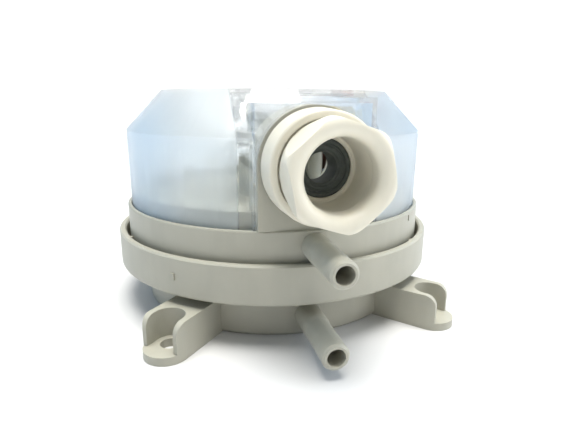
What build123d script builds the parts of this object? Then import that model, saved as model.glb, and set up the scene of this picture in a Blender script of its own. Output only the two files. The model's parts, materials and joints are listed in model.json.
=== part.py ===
"""Differential pressure switch for air: round housing on two wall feet, hose spigots, clear cover.

Frame in millimetres: origin at the middle of the wall side of the base, on the housing axis,
+Z up through the cover, and -Y towards the cable gland and the hose spigots.
"""
import os
from math import cos, radians, sin

from build123d import *

os.makedirs("parts", exist_ok=True)

# Housing sizes
HOUSING_D = 85.0
HOUSING_WALL = 2.0
OVERALL_H = 58.0
BASE_D = 75.8
BASE_FLOOR = 2.0
BASE_WALL = 2.0
BASE_EDGE = 0.8
RING_GAP = 0.95
RING_WALL = 1.8
RING_Z0 = 11.1
RING_CLEAR = 0.2
RING_ROUND = 0.8
RING_EDGE = 0.4
FLANGE = 2.0
LIP_OVER = 0.4
LIP_WALL = 0.9
GROOVE_DEPTH = 2.9
GROOVE_FLOOR = 1.6
UPSTAND_OVER = 3.6
UPSTAND_WALL = 1.4
UPSTAND_GAP = 0.4
CHAMBER_WALL = 1.5
PARTITION_T = 1.8
NOTCH_ANGLE = 43.0
NOTCH_W = 0.9
NOTCH_H = 1.6
NOTCH_DROP = 0.85
NIB_ANGLE = 43.6
NIB_W = 1.2
NIB_OUT = 0.35
NIB_H = 1.6
NIB_UP = 4.1
RIB_W = 1.6
RIB_DROP = 0.8

# Wall feet with their screw pockets
FOOT_ANGLE = 40.5
FOOT_PITCH = 65.0
FOOT_HOLE_D = 4.5
FOOT_HALF = 5.25
FOOT_WALL = 1.5
FOOT_TOP = 9.0
FOOT_PLATE = 2.0
FOOT_TOE = 6.36
FOOT_WALL_END = 3.36
FOOT_SHOULDER_R = 2.8

# Hose spigots
SPIGOT_D = 6.0
SPIGOT_ROOT_D = 6.4
SPIGOT_BORE = 4.0
SPIGOT_STRAIGHT = 12.0
SPIGOT_EDGE = 0.5
SPIGOT_STEP = 1.0
BORE_CLEAR = 0.3
LOW_SPIGOT_Z = 5.3
LOW_SPIGOT_REACH = 57.9
HIGH_SPIGOT_REACH = 60.8

# Clear cover
COVER_GAP = 0.2
COVER_DRAFT = 0.1
COVER_WALL = 1.5
SLOPE_H = 10.3
SLOPE_W = 9.75
GASKET_T = 0.6
WINDOW_SET = 0.2
WINDOW_DROP = 1.7
WINDOW_WALL = 0.8
WINDOW_ROOF = 1.3
WINDOW_FOOT = 0.3

# Cable gland
ARCH_WALL = 2.1
ARCH_SET = 1.3
ARCH_PLATE = 2.2
ARCH_DEPTH = 11.2
ARCH_GAP = 0.3
WASHER_T = 0.6
WASHER_INSET = 1.2
COLLAR_D = 24.5
COLLAR_LEN = 7.5
COLLAR_TAPER = 0.35
COLLAR_EDGE = 0.9
GLAND_BORE = 14.4
STUB_WALL = 1.75
STUB_LEN = 5.0
REAR_WALL = 1.0
REAR_STUB_LEN = 10.4
SEAL_STEP = 0.95
SEAL_LEN = 6.7
SEAL_DEPTH = 3.6
SEAL_LIP = 0.4
SEAL_EDGE = 0.4
CABLE_HOLE = 6.5
NUT_WALL = 1.7
NUT_LEN = 8.0
NUT_GAP = 0.5
NUT_MOUTH_STEP = 0.1
NUT_CORNER = 1.35
NUT_RIM_STEP = 0.75
NUT_CONE = 3.2
NUT_ROUND = 2.85
NUT_END = 0.5
NUT_TURN = 41.0
LOCKNUT_WALL = 0.75
LOCKNUT_GAP = 0.21
LOCKNUT_T = 3.4

# Diaphragm stack
BEAD_INSET = 0.7
DIAPHRAGM_BEAD = 1.2
DIAPHRAGM_T = 0.8
ROLL_GAP = 1.5
ROLL_RIM = 1.2
PLATE_D = 55.0
LOW_PLATE_T = 1.0
HIGH_PLATE_T = 1.4
PLATE_RIB_H = 1.5
PLATE_RIB_T = 1.2
PLATE_RIBS = 6
RIVET_D = 4.0
RIVET_HEAD_D = 8.0
RIVET_HEAD_T = 0.8
RIVET_FLARE = 1.2
PIN_Y = -6.0
PIN_D = 4.0
PIN_GAP = 0.3
TRIM_HEAD_D = 3.6
TRIM_HEAD_H = 1.1
TRIM_SHANK_D = 2.0
TRIM_SHANK_LEN = 5.0
TRIM_GAP = 0.3
STOP_GAP = 0.2
STOP_POST_D = 4.4
STOP_POST_R = 16.0

# Range spring and its adjuster
BARREL_BORE = 17.2
BARREL_WALL = 2.0
BRIDGE_T = 1.8
SPINDLE_D = 6.0
SPRING_D = 13.8
SPRING_WIRE = 0.9
SPRING_TURNS = 5.5
SPRING_BOSS_D = 11.0
SPRING_BOSS_H = 2.0
CUP_DROP = 1.8
CUP_T = 3.0
CUP_GAP = 0.35
CUP_KEY_W = 2.4
CUP_TRAVEL = 3.8
CLIP_RING_D = 11.0
CLIP_RING_T = 0.7
CLIP_GROOVE_D = 5.2
SCALE_D = 34.8
SCALE_T = 1.2
SCALE_CLEAR = 0.6
SCALE_EDGE = 2.6
SCALE_SCREW_ANGLE = 50.0
SCALE_SCREW_D = 2.0
SCALE_SCREW_LEN = 7.0
SCALE_HEAD_D = 3.6
SCALE_HEAD_T = 1.1
SCALE_SLOT_W = 0.5
SCALE_POST_D = 4.0
SCALE_WEB_T = 1.4
KNOB_CLEAR = 4.3
KNOB_SIDE = 1.6
KNOB_D = 24.0
KNOB_T = 3.0
KNOB_GAP = 0.6
KNOB_FLUTE_R = 0.9
KNOB_GRIP_D = 16.0
KNOB_GRIP_H = 5.6
KNOB_BAR_T = 4.2
KNOB_BAR_FOOT = 1.2
KNOB_SHOULDER_D = 8.4
RUN = 0.05

# Microswitch
TAB_CLEAR = 2.6
SWITCH_LIFT = 3.4
SWITCH_LEN = 27.8
SWITCH_H = 15.9
SWITCH_T = 10.3
SWITCH_CORNER = 1.0
SWITCH_HOLE_PITCH = 22.2
SWITCH_HOLE_UP = 2.8
SWITCH_SCREW_D = 2.5
SWITCH_HEAD_D = 4.4
SWITCH_HEAD_T = 1.5
SWITCH_SLOT = 0.7
BRACKET_T = 2.2
BRACKET_H = 12.0
BRACKET_BOSS_D = 5.2
BRACKET_BOSS_LEN = 3.2
LEDGE_W = 2.0
LEVER_PIVOT_Y = 11.0
LEVER_DROP = 1.6
LEVER_ARM = 20.0
LEVER_T = 0.4
LEVER_W = 3.6
LEVER_CURL_D = 2.0
LEVER_PIN_D = 1.2
EAR_T = 0.9
EAR_D = 2.6
EAR_GAP = 0.1
BUTTON_ARM = 7.5
BUTTON_D = 2.4
BUTTON_DEPTH = 3.0
TAB_W = 6.3
TAB_T = 0.8
TAB_H = 6.4
TAB_ROOT = 2.0
TAB_PITCH = 8.8
TAB_HOLE_D = 1.6
TAB_HOLE_DROP = 2.4
TAB_CORNER = 1.0

# Sizes that follow from the ones above, from the housing's radius outwards and inwards
FREE = 0.15
housing_r = HOUSING_D / 2
base_r = BASE_D / 2
cup_bore_r = base_r - BASE_WALL
ring_bore = housing_r + RING_GAP
ring_r = ring_bore + RING_WALL
lip_bore = housing_r - LIP_WALL
cover_foot_r = lip_bore - COVER_GAP
cover_r = cover_foot_r + COVER_DRAFT
cover_top_r = cover_r - SLOPE_W
upstand_r = cover_foot_r - COVER_WALL - UPSTAND_GAP
upstand_bore = upstand_r - UPSTAND_WALL
chamber_r = upstand_bore - CHAMBER_WALL
foot_u = FOOT_PITCH / 2 / sin(radians(FOOT_ANGLE))
pocket_r = FOOT_HALF - FOOT_WALL
toe_u = foot_u + FOOT_TOE
wall_end_u = foot_u + FOOT_WALL_END
barrel_r = BARREL_BORE / 2 + BARREL_WALL
switch_in = KNOB_D / 2 + KNOB_SIDE
switch_x = switch_in + SWITCH_T / 2
switch_out = switch_in + SWITCH_T
scale_flat = switch_in - SCALE_CLEAR
scale_screw_r = SCALE_D / 2 - SCALE_EDGE
plate_r = PLATE_D / 2
roll_r0 = plate_r + ROLL_GAP
roll_r1 = chamber_r - ROLL_RIM

# Heights from the wall up
seat_z = RING_Z0 + FLANGE
upper_z = seat_z + DIAPHRAGM_BEAD
web_z = seat_z + (DIAPHRAGM_BEAD - DIAPHRAGM_T) / 2
plate_z = web_z + DIAPHRAGM_T
low_plate_z = web_z - LOW_PLATE_T
plate_top = plate_z + HIGH_PLATE_T

# Heights from the cover down: tabs, microswitch, partition, upper spigot, lip and ring
tab_top = OVERALL_H - COVER_WALL - TAB_CLEAR
switch_top = tab_top - TAB_H
switch_z = switch_top - SWITCH_H
floor_z = switch_z - SWITCH_LIFT
partition_z = floor_z - PARTITION_T
high_spigot_z = partition_z - BORE_CLEAR - SPIGOT_BORE / 2
ring_top = high_spigot_z - SPIGOT_ROOT_D / 2 - RING_CLEAR
lip_z = high_spigot_z + SPIGOT_ROOT_D / 2 + LIP_OVER
groove_z = lip_z - GROOVE_DEPTH
upstand_z = lip_z + UPSTAND_OVER
cover_foot_z = groove_z + GASKET_T
shoulder_z = OVERALL_H - SLOPE_H
switch_hole_z = switch_z + SWITCH_HOLE_UP
pivot_z = switch_z - LEVER_DROP
leaf_z = pivot_z - LEVER_T / 2
trim_top = leaf_z - TRIM_GAP
pin_top = trim_top - TRIM_HEAD_H
button_z = leaf_z + LEVER_T + TRIM_GAP
button_y = LEVER_PIVOT_Y - BUTTON_ARM

# Heights from the cover down: knob, scale plate, bridge, spring cup and spindle
knob_z = OVERALL_H - COVER_WALL - KNOB_CLEAR - KNOB_GRIP_H - KNOB_T
scale_top = knob_z - KNOB_GAP
bridge_top = scale_top - SCALE_T
bridge_z = bridge_top - BRIDGE_T
cup_z = bridge_z - CUP_DROP - CUP_T
spindle_end = cup_z - SPRING_BOSS_H - CUP_TRAVEL - CUP_GAP + FREE

# Gland sizes, from its bore outwards and from the arch to the front
stub_r = GLAND_BORE / 2 + STUB_WALL
rear_r = GLAND_BORE / 2 + REAR_WALL
seal_r = GLAND_BORE / 2 - SEAL_STEP
nut_half = stub_r + RUN + NUT_WALL
nut_corner_r = nut_half + NUT_CORNER
mouth_r = GLAND_BORE / 2 + NUT_MOUTH_STEP
locknut_half = rear_r + RUN + LOCKNUT_WALL
arch_in = locknut_half / cos(radians(30)) + LOCKNUT_GAP
arch_r = arch_in + ARCH_WALL
window_top = OVERALL_H - WINDOW_DROP
gland_z = window_top - WINDOW_ROOF - ARCH_GAP - arch_r
window_half = arch_r + ARCH_GAP + WINDOW_WALL
arch_front = housing_r - ARCH_SET
window_front = arch_front - WINDOW_SET
arch_back = arch_front - ARCH_DEPTH
locknut_face = arch_front - ARCH_PLATE
collar_back = arch_front + WASHER_T
collar_front = collar_back + COLLAR_LEN
collar_r = COLLAR_D / 2
seal_front = collar_front - SEAL_DEPTH
stub_front = collar_front + STUB_LEN
rear_end = collar_back - REAR_STUB_LEN
seal_back = seal_front - SEAL_LEN
nut_back = collar_front + NUT_GAP
nut_front = nut_back + NUT_LEN
gland_face = Plane(origin=(0, 0, gland_z), x_dir=(1, 0, 0), z_dir=(0, -1, 0))
gland_half = Plane(origin=(0, 0, gland_z), x_dir=(0, -1, 0), z_dir=(-1, 0, 0))
gland_axis = Axis((0, 0, gland_z), (0, -1, 0))
front_strip = 2 * arch_r


def spigot_points(root, reach):
    """Half section of a hose spigot, from its root to its mouth along the spigot's axis.

    Args:
        root: Distance of the buried end from the housing axis.
        reach: Distance of the mouth from the housing axis.

    Returns:
        The corner points, first value along the spigot and second value from its axis.
    """
    return [
        (root, 0),
        (root, SPIGOT_ROOT_D / 2),
        (reach - SPIGOT_STRAIGHT - 1, SPIGOT_ROOT_D / 2),
        (reach - SPIGOT_STRAIGHT, SPIGOT_D / 2),
        (reach - SPIGOT_EDGE, SPIGOT_D / 2),
        (reach, SPIGOT_D / 2 - SPIGOT_EDGE),
        (reach, 0),
    ]


# Lower housing: base cup, clamp ring, two feet and the high pressure spigot
with BuildPart() as lower_housing:
    with BuildSketch(Plane.XZ):
        with BuildLine():
            Polyline(
                (0, 0),
                (base_r, 0),
                (base_r, RING_Z0),
                (ring_r, RING_Z0),
                (ring_r, ring_top),
                (ring_bore, ring_top),
                (ring_bore, seat_z),
                (cup_bore_r, seat_z),
                (cup_bore_r, BASE_FLOOR),
                (0, BASE_FLOOR),
                close=True,
            )
        make_face()
    revolve(axis=Axis.Z)
    rims = lower_housing.edges().filter_by(GeomType.CIRCLE)
    chamfer(rims.filter_by(lambda e: e.radius > base_r - 0.1 and e.center().Z < 0.1), BASE_EDGE)
    rims = lower_housing.edges().filter_by(GeomType.CIRCLE)
    fillet(rims.filter_by(lambda e: e.radius > ring_r - 0.1 and e.center().Z < RING_Z0 + 0.1), RING_ROUND)
    rims = lower_housing.edges().filter_by(GeomType.CIRCLE)
    chamfer(rims.filter_by(lambda e: e.center().Z > ring_top - 0.1), RING_EDGE)
    for side in (-1, 1):
        along = Vector(side * sin(radians(FOOT_ANGLE)), -cos(radians(FOOT_ANGLE)), 0)
        foot_plan = Plane(origin=(0, 0, 0), x_dir=along, z_dir=(0, 0, 1))
        foot_side = Plane(origin=(0, 0, 0), x_dir=along, z_dir=along.cross(Vector(0, 0, 1)))
        root_u = base_r - BASE_WALL / 2
        with BuildSketch(foot_plan):
            with Locations(((root_u + toe_u - FOOT_HALF) / 2, 0)):
                Rectangle(toe_u - FOOT_HALF - root_u, 2 * FOOT_HALF)
            with Locations((toe_u - FOOT_HALF, 0)):
                Circle(FOOT_HALF)
        extrude(amount=FOOT_TOP)
        with BuildSketch(foot_plan.offset(FOOT_PLATE)):
            with Locations((foot_u, 0)):
                Circle(pocket_r)
            with Locations((foot_u + FOOT_TOE, 0)):
                Rectangle(2 * FOOT_TOE, 2 * pocket_r)
        extrude(amount=FOOT_TOP, mode=Mode.SUBTRACT)
        with BuildSketch(foot_plan):
            with Locations((foot_u, 0)):
                Circle(FOOT_HOLE_D / 2)
        extrude(amount=FOOT_PLATE, mode=Mode.SUBTRACT)
        with BuildSketch(foot_side):
            with BuildLine():
                Polyline(
                    (wall_end_u - FOOT_SHOULDER_R, FOOT_TOP),
                    (wall_end_u - FOOT_SHOULDER_R, FOOT_TOP + 1),
                    (wall_end_u + FOOT_TOE, FOOT_TOP + 1),
                    (wall_end_u + FOOT_TOE, FOOT_PLATE),
                    (wall_end_u, FOOT_PLATE),
                    (wall_end_u, FOOT_TOP - FOOT_SHOULDER_R),
                )
                CenterArc(
                    (wall_end_u - FOOT_SHOULDER_R, FOOT_TOP - FOOT_SHOULDER_R),
                    FOOT_SHOULDER_R,
                    0,
                    90,
                )
            make_face()
        extrude(amount=FOOT_HALF + 1, both=True, mode=Mode.SUBTRACT)
    with BuildSketch(Plane(origin=(0, 0, LOW_SPIGOT_Z), x_dir=(0, -1, 0), z_dir=(-1, 0, 0))):
        with BuildLine():
            Polyline(*spigot_points(base_r - BASE_WALL / 2, LOW_SPIGOT_REACH), close=True)
        make_face()
    revolve(axis=Axis((0, 0, LOW_SPIGOT_Z), (0, -1, 0)))
    with BuildSketch(Plane.XZ.offset(cup_bore_r - 1)):
        with Locations((0, LOW_SPIGOT_Z)):
            Circle(SPIGOT_BORE / 2)
    extrude(amount=LOW_SPIGOT_REACH, mode=Mode.SUBTRACT)
    with BuildSketch(Plane.XY.offset(BASE_FLOOR)):
        with PolarLocations(STOP_POST_R, 4, start_angle=45):
            Circle(STOP_POST_D / 2)
    extrude(amount=low_plate_z - STOP_GAP - BASE_FLOOR)
    with BuildSketch(Plane.XY.offset(seat_z)):
        with PolarLocations((housing_r + FREE + ring_bore + 0.1) / 2, 12, start_angle=15):
            Rectangle(ring_bore + 0.1 - housing_r - FREE, RIB_W)
    extrude(amount=ring_top - seat_z - RIB_DROP)
    nib_out = Vector(-sin(radians(NIB_ANGLE)), -cos(radians(NIB_ANGLE)), 0)
    with BuildSketch(Plane(origin=(0, 0, RING_Z0 + NIB_UP), x_dir=nib_out, z_dir=(0, 0, 1))):
        with Locations((ring_r + NIB_OUT - RING_WALL / 2, 0)):
            Rectangle(RING_WALL, NIB_W)
    extrude(amount=NIB_H)
lower_housing.part.label = "lower_housing"
export_step(lower_housing.part, "parts/lower_housing.step")

# Diaphragm: clamped bead, one rolled convolution and a flat web
with BuildPart() as diaphragm:
    with BuildSketch(Plane.XZ):
        with BuildLine():
            roll_mid = (roll_r0 + roll_r1) / 2
            roll_h = (roll_r1 - roll_r0) / 2
            bead_in = chamber_r - 0.3
            Polyline(
                (roll_r0, plate_z),
                (RIVET_D / 2 + 0.1, plate_z),
                (RIVET_D / 2 + 0.1, web_z),
                (roll_r0 + DIAPHRAGM_T, web_z),
                (roll_r0 + DIAPHRAGM_T, plate_z),
            )
            ThreePointArc(
                (roll_r0 + DIAPHRAGM_T, plate_z),
                (roll_mid, plate_z + roll_h - DIAPHRAGM_T),
                (roll_r1 - DIAPHRAGM_T, plate_z),
            )
            Polyline(
                (roll_r1 - DIAPHRAGM_T, plate_z),
                (roll_r1 - DIAPHRAGM_T, web_z),
                (bead_in, web_z),
                (bead_in, seat_z),
                (housing_r - BEAD_INSET, seat_z),
                (housing_r - BEAD_INSET, upper_z),
                (bead_in, upper_z),
                (bead_in, plate_z),
                (roll_r1, plate_z),
            )
            ThreePointArc((roll_r1, plate_z), (roll_mid, plate_z + roll_h), (roll_r0, plate_z))
        make_face()
    revolve(axis=Axis.Z)
diaphragm.part.label = "diaphragm"
export_step(diaphragm.part, "parts/diaphragm.step")

# Lower backing plate with a turned-down rim
with BuildPart() as lower_plate:
    with BuildSketch(Plane.XY.offset(low_plate_z)):
        Circle(plate_r)
        Circle(RIVET_D / 2 + 0.1, mode=Mode.SUBTRACT)
    extrude(amount=LOW_PLATE_T)
    with BuildSketch(Plane.XY.offset(low_plate_z - LOW_PLATE_T)):
        Circle(plate_r)
        Circle(plate_r - LOW_PLATE_T, mode=Mode.SUBTRACT)
    extrude(amount=LOW_PLATE_T)
lower_plate.part.label = "lower_plate"
export_step(lower_plate.part, "parts/lower_plate.step")

# Upper backing plate with ribs, spring boss and the push pin of the microswitch
with BuildPart() as upper_plate:
    with BuildSketch(Plane.XY.offset(plate_z)):
        Circle(plate_r)
    extrude(amount=HIGH_PLATE_T)
    with BuildSketch(Plane.XY.offset(plate_top)):
        Circle(BARREL_BORE / 2 + PLATE_RIB_T)
        Circle(BARREL_BORE / 2, mode=Mode.SUBTRACT)
        for k in range(PLATE_RIBS):
            with Locations(Rotation(0, 0, 360 / PLATE_RIBS * k + 10)):
                with Locations(((plate_r + BARREL_BORE / 2) / 2, 0)):
                    Rectangle(plate_r - BARREL_BORE / 2 - PLATE_RIB_T, PLATE_RIB_T)
    extrude(amount=PLATE_RIB_H)
    with BuildSketch(Plane.XY.offset(plate_top)):
        Circle(SPRING_BOSS_D / 2)
    extrude(amount=SPRING_BOSS_H)
    with BuildSketch(Plane.XY.offset(plate_z)):
        with Locations((switch_x, PIN_Y)):
            Circle(PIN_D / 2)
    extrude(amount=pin_top - plate_z)
    with BuildSketch(Plane.XY.offset(plate_z)):
        Circle(RIVET_D / 2 + 0.1)
    extrude(amount=HIGH_PLATE_T + SPRING_BOSS_H, mode=Mode.SUBTRACT)
    with BuildSketch(Plane.XY.offset(pin_top)):
        with Locations((switch_x, PIN_Y)):
            Circle(TRIM_SHANK_D / 2 + RUN)
    extrude(amount=-TRIM_SHANK_LEN - 0.5, mode=Mode.SUBTRACT)
upper_plate.part.label = "upper_plate"
export_step(upper_plate.part, "parts/upper_plate.step")

# Rivet that holds both plates on the diaphragm
rivet_top = plate_top + SPRING_BOSS_H
with BuildPart() as plate_rivet:
    with BuildSketch(Plane.XY.offset(low_plate_z - RIVET_HEAD_T)):
        Circle(RIVET_HEAD_D / 2)
    extrude(amount=RIVET_HEAD_T)
    with BuildSketch(Plane.XY.offset(low_plate_z)):
        Circle(RIVET_D / 2)
    extrude(amount=rivet_top - low_plate_z)
    with BuildSketch(Plane.XY.offset(rivet_top)):
        Circle(RIVET_D / 2 + RIVET_FLARE)
    extrude(amount=RIVET_HEAD_T, taper=20)
plate_rivet.part.label = "plate_rivet"
export_step(plate_rivet.part, "parts/plate_rivet.step")

# Trim screw on top of the push pin
with BuildPart() as trim_screw:
    with BuildSketch(Plane.XY.offset(pin_top)):
        with Locations((switch_x, PIN_Y)):
            Circle(TRIM_HEAD_D / 2)
    extrude(amount=TRIM_HEAD_H)
    fillet(trim_screw.edges().group_by(Axis.Z)[-1], 0.6)
    with BuildSketch(Plane.XY.offset(pin_top - TRIM_SHANK_LEN)):
        with Locations((switch_x, PIN_Y)):
            Circle(TRIM_SHANK_D / 2)
    extrude(amount=TRIM_SHANK_LEN)
trim_screw.part.label = "trim_screw"
export_step(trim_screw.part, "parts/trim_screw.step")

# Upper housing: chamber, partition, cover groove, gland arch, spring barrel, switch bracket, spigot
with BuildPart() as upper_housing:
    with BuildSketch(Plane.XZ):
        with BuildLine():
            Polyline(
                (0, partition_z),
                (chamber_r, partition_z),
                (chamber_r, upper_z),
                (upstand_bore, upper_z),
                (upstand_bore, groove_z - GROOVE_FLOOR),
                (housing_r - HOUSING_WALL, groove_z - GROOVE_FLOOR),
                (housing_r - HOUSING_WALL, upper_z),
                (housing_r, upper_z),
                (housing_r, lip_z),
                (lip_bore, lip_z),
                (lip_bore, groove_z),
                (upstand_r, groove_z),
                (upstand_r, upstand_z),
                (upstand_bore, upstand_z),
                (upstand_bore, floor_z),
                (0, floor_z),
                close=True,
            )
        make_face()
    revolve(axis=Axis.Z)
    rims = upper_housing.edges().filter_by(GeomType.CIRCLE)
    fillet(rims.filter_by(lambda e: e.radius > housing_r - 0.1 and e.center().Z > lip_z - 0.1), LIP_WALL / 2)
    with BuildSketch(Plane.XY.offset(high_spigot_z - SPIGOT_BORE / 2 - SPIGOT_STEP)):
        Circle(housing_r - LIP_WALL / 2)
        Circle(chamber_r + CHAMBER_WALL / 2, mode=Mode.SUBTRACT)
        with Locations((0, -housing_r)):
            Rectangle(front_strip, housing_r, mode=Mode.INTERSECT)
    extrude(amount=lip_z - high_spigot_z + SPIGOT_BORE / 2 + SPIGOT_STEP)
    with BuildSketch(gland_face.offset(arch_back)):
        Circle(arch_r)
        with Locations((0, -(gland_z - floor_z) / 2)):
            Rectangle(front_strip, gland_z - floor_z)
    extrude(amount=arch_front - arch_back)
    with BuildSketch(gland_face.offset(locknut_face)):
        with Locations((0, -(gland_z - lip_z) / 2)):
            Rectangle(front_strip, gland_z - lip_z)
    extrude(amount=ARCH_PLATE)
    with BuildSketch(gland_face.offset(arch_back)):
        Circle(arch_in)
        with Locations((0, -(gland_z - floor_z) / 2)):
            Rectangle(2 * arch_in, gland_z - floor_z)
    extrude(amount=locknut_face - arch_back, mode=Mode.SUBTRACT)
    with BuildSketch(gland_face.offset(arch_back)):
        Circle(rear_r + FREE)
    extrude(amount=arch_front, mode=Mode.SUBTRACT)
    with BuildSketch(Plane.XY.offset(floor_z)):
        Circle(barrel_r)
        for side in (-1, 1):
            with Locations(Rotation(0, 0, side * SCALE_SCREW_ANGLE)):
                with Locations((scale_screw_r / 2, 0)):
                    Rectangle(scale_screw_r, SCALE_WEB_T)
                with Locations((scale_screw_r, 0)):
                    Circle(SCALE_POST_D / 2)
    extrude(amount=bridge_top - floor_z)
    with BuildSketch(Plane.XY.offset(partition_z)):
        Circle(BARREL_BORE / 2)
    extrude(amount=bridge_z - partition_z, mode=Mode.SUBTRACT)
    with BuildSketch(Plane.XY.offset(partition_z)):
        Rectangle(CUP_KEY_W + 2 * CUP_GAP, BARREL_BORE + BARREL_WALL)
    extrude(amount=bridge_z - partition_z, mode=Mode.SUBTRACT)
    with BuildSketch(Plane.XY.offset(bridge_z)):
        Circle(SPINDLE_D / 2 + RUN)
    extrude(amount=BRIDGE_T, mode=Mode.SUBTRACT)
    with BuildSketch(Plane.XY.offset(bridge_top)):
        for side in (-1, 1):
            with Locations(Rotation(0, 0, side * SCALE_SCREW_ANGLE)):
                with Locations((scale_screw_r, 0)):
                    Circle(SCALE_SCREW_D / 2 + RUN)
    extrude(amount=-SCALE_SCREW_LEN, mode=Mode.SUBTRACT)
    with BuildSketch(Plane.XY.offset(partition_z)):
        with Locations((switch_x, PIN_Y)):
            Circle(PIN_D / 2 + PIN_GAP)
    extrude(amount=PARTITION_T, mode=Mode.SUBTRACT)
    with BuildSketch(Plane.XY.offset(floor_z)):
        with Locations((switch_out + BRACKET_T / 2, 0)):
            Rectangle(BRACKET_T, SWITCH_LEN)
    extrude(amount=BRACKET_H)
    with BuildSketch(Plane.XY.offset(floor_z)):
        with Locations((switch_out - LEDGE_W / 2, 0)):
            Rectangle(LEDGE_W, SWITCH_LEN)
    extrude(amount=switch_z - floor_z)
    with BuildSketch(Plane.YZ.offset(switch_out)):
        with Locations((-SWITCH_HOLE_PITCH / 2, switch_hole_z), (SWITCH_HOLE_PITCH / 2, switch_hole_z)):
            Circle(BRACKET_BOSS_D / 2)
    extrude(amount=BRACKET_T + BRACKET_BOSS_LEN)
    with BuildSketch(Plane.YZ.offset(switch_out)):
        with Locations((-SWITCH_HOLE_PITCH / 2, switch_hole_z), (SWITCH_HOLE_PITCH / 2, switch_hole_z)):
            Circle(SWITCH_SCREW_D / 2 + RUN)
    extrude(amount=BRACKET_T + BRACKET_BOSS_LEN, mode=Mode.SUBTRACT)
    with BuildSketch(Plane(origin=(0, 0, high_spigot_z), x_dir=(0, -1, 0), z_dir=(-1, 0, 0))):
        with BuildLine():
            Polyline(*spigot_points(housing_r - LIP_WALL, HIGH_SPIGOT_REACH), close=True)
        make_face()
    revolve(axis=Axis((0, 0, high_spigot_z), (0, -1, 0)))
    with BuildSketch(Plane.XZ.offset(chamber_r - 1)):
        with Locations((0, high_spigot_z)):
            Circle(SPIGOT_BORE / 2)
    extrude(amount=HIGH_SPIGOT_REACH, mode=Mode.SUBTRACT)
    for turn in (NOTCH_ANGLE, 180 + NOTCH_ANGLE):
        out = Vector(sin(radians(turn)), -cos(radians(turn)), 0)
        with BuildSketch(Plane(origin=(0, 0, lip_z - NOTCH_DROP - NOTCH_H), x_dir=out, z_dir=(0, 0, 1))):
            with Locations((housing_r, 0)):
                Rectangle(HOUSING_WALL, NOTCH_W)
        extrude(amount=NOTCH_H, mode=Mode.SUBTRACT)
upper_housing.part.label = "upper_housing"
export_step(upper_housing.part, "parts/upper_housing.step")

# Range spring between the upper plate and the spring cup
with BuildPart() as range_spring:
    spring_r = (SPRING_D - SPRING_WIRE) / 2
    spring_h = cup_z - plate_top - SPRING_WIRE
    with BuildLine(Plane.XY.offset(plate_top + SPRING_WIRE / 2)) as coil:
        Helix(pitch=spring_h / SPRING_TURNS, height=spring_h, radius=spring_r)
    with BuildSketch(Plane(origin=coil.line @ 0, z_dir=coil.line % 0)):
        RegularPolygon(SPRING_WIRE / 2, 6)
    sweep(path=coil.line, is_frenet=True)
range_spring.part.label = "range_spring"
export_step(range_spring.part, "parts/range_spring.step")

# Spring cup: a nut on the spindle, kept from turning by two keys
with BuildPart() as spring_cup:
    with BuildSketch(Plane.XY.offset(cup_z)):
        Circle(BARREL_BORE / 2 - CUP_GAP)
        Rectangle(CUP_KEY_W, BARREL_BORE + BARREL_WALL - 2 * CUP_GAP)
    extrude(amount=CUP_T)
    with BuildSketch(Plane.XY.offset(cup_z)):
        Circle(SPRING_BOSS_D / 2)
    extrude(amount=-SPRING_BOSS_H)
    with BuildSketch(Plane.XY.offset(cup_z - SPRING_BOSS_H)):
        Circle(SPINDLE_D / 2 + RUN)
    extrude(amount=CUP_T + SPRING_BOSS_H, mode=Mode.SUBTRACT)
spring_cup.part.label = "spring_cup"
export_step(spring_cup.part, "parts/spring_cup.step")

# Scale plate under the knob, cut flat beside the microswitch
with BuildPart() as scale_plate:
    with BuildSketch(Plane.XY.offset(bridge_top)):
        Circle(SCALE_D / 2)
        with Locations((scale_flat - SCALE_D / 2, 0)):
            Rectangle(SCALE_D, SCALE_D, mode=Mode.INTERSECT)
        Circle(KNOB_SHOULDER_D / 2 + PIN_GAP, mode=Mode.SUBTRACT)
        for side in (-1, 1):
            with Locations(Rotation(0, 0, side * SCALE_SCREW_ANGLE)):
                with Locations((scale_screw_r, 0)):
                    Circle(SCALE_SCREW_D / 2 + RUN, mode=Mode.SUBTRACT)
    extrude(amount=SCALE_T)
scale_plate.part.label = "scale_plate"
export_step(scale_plate.part, "parts/scale_plate.step")

# Two small screws that hold the scale plate
with BuildPart() as scale_screws:
    for side in (-1, 1):
        turn = radians(side * SCALE_SCREW_ANGLE)
        spot = (scale_screw_r * cos(turn), scale_screw_r * sin(turn))
        with BuildSketch(Plane.XY.offset(scale_top)):
            with Locations(spot):
                Circle(SCALE_HEAD_D / 2)
        extrude(amount=SCALE_HEAD_T)
        with BuildSketch(Plane.XY.offset(scale_top)):
            with Locations(spot):
                Circle(SCALE_SCREW_D / 2)
        extrude(amount=SCALE_T - SCALE_SCREW_LEN)
        with BuildSketch(Plane.XY.offset(scale_top + SCALE_HEAD_T / 2)):
            with Locations(spot):
                Rectangle(SCALE_SLOT_W, SCALE_HEAD_D - 2 * SCALE_SLOT_W, rotation=40)
                Rectangle(SCALE_HEAD_D - 2 * SCALE_SLOT_W, SCALE_SLOT_W, rotation=40)
        extrude(amount=SCALE_HEAD_T, mode=Mode.SUBTRACT)
scale_screws.part.label = "scale_screws"
export_step(scale_screws.part, "parts/scale_screws.step")

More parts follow.
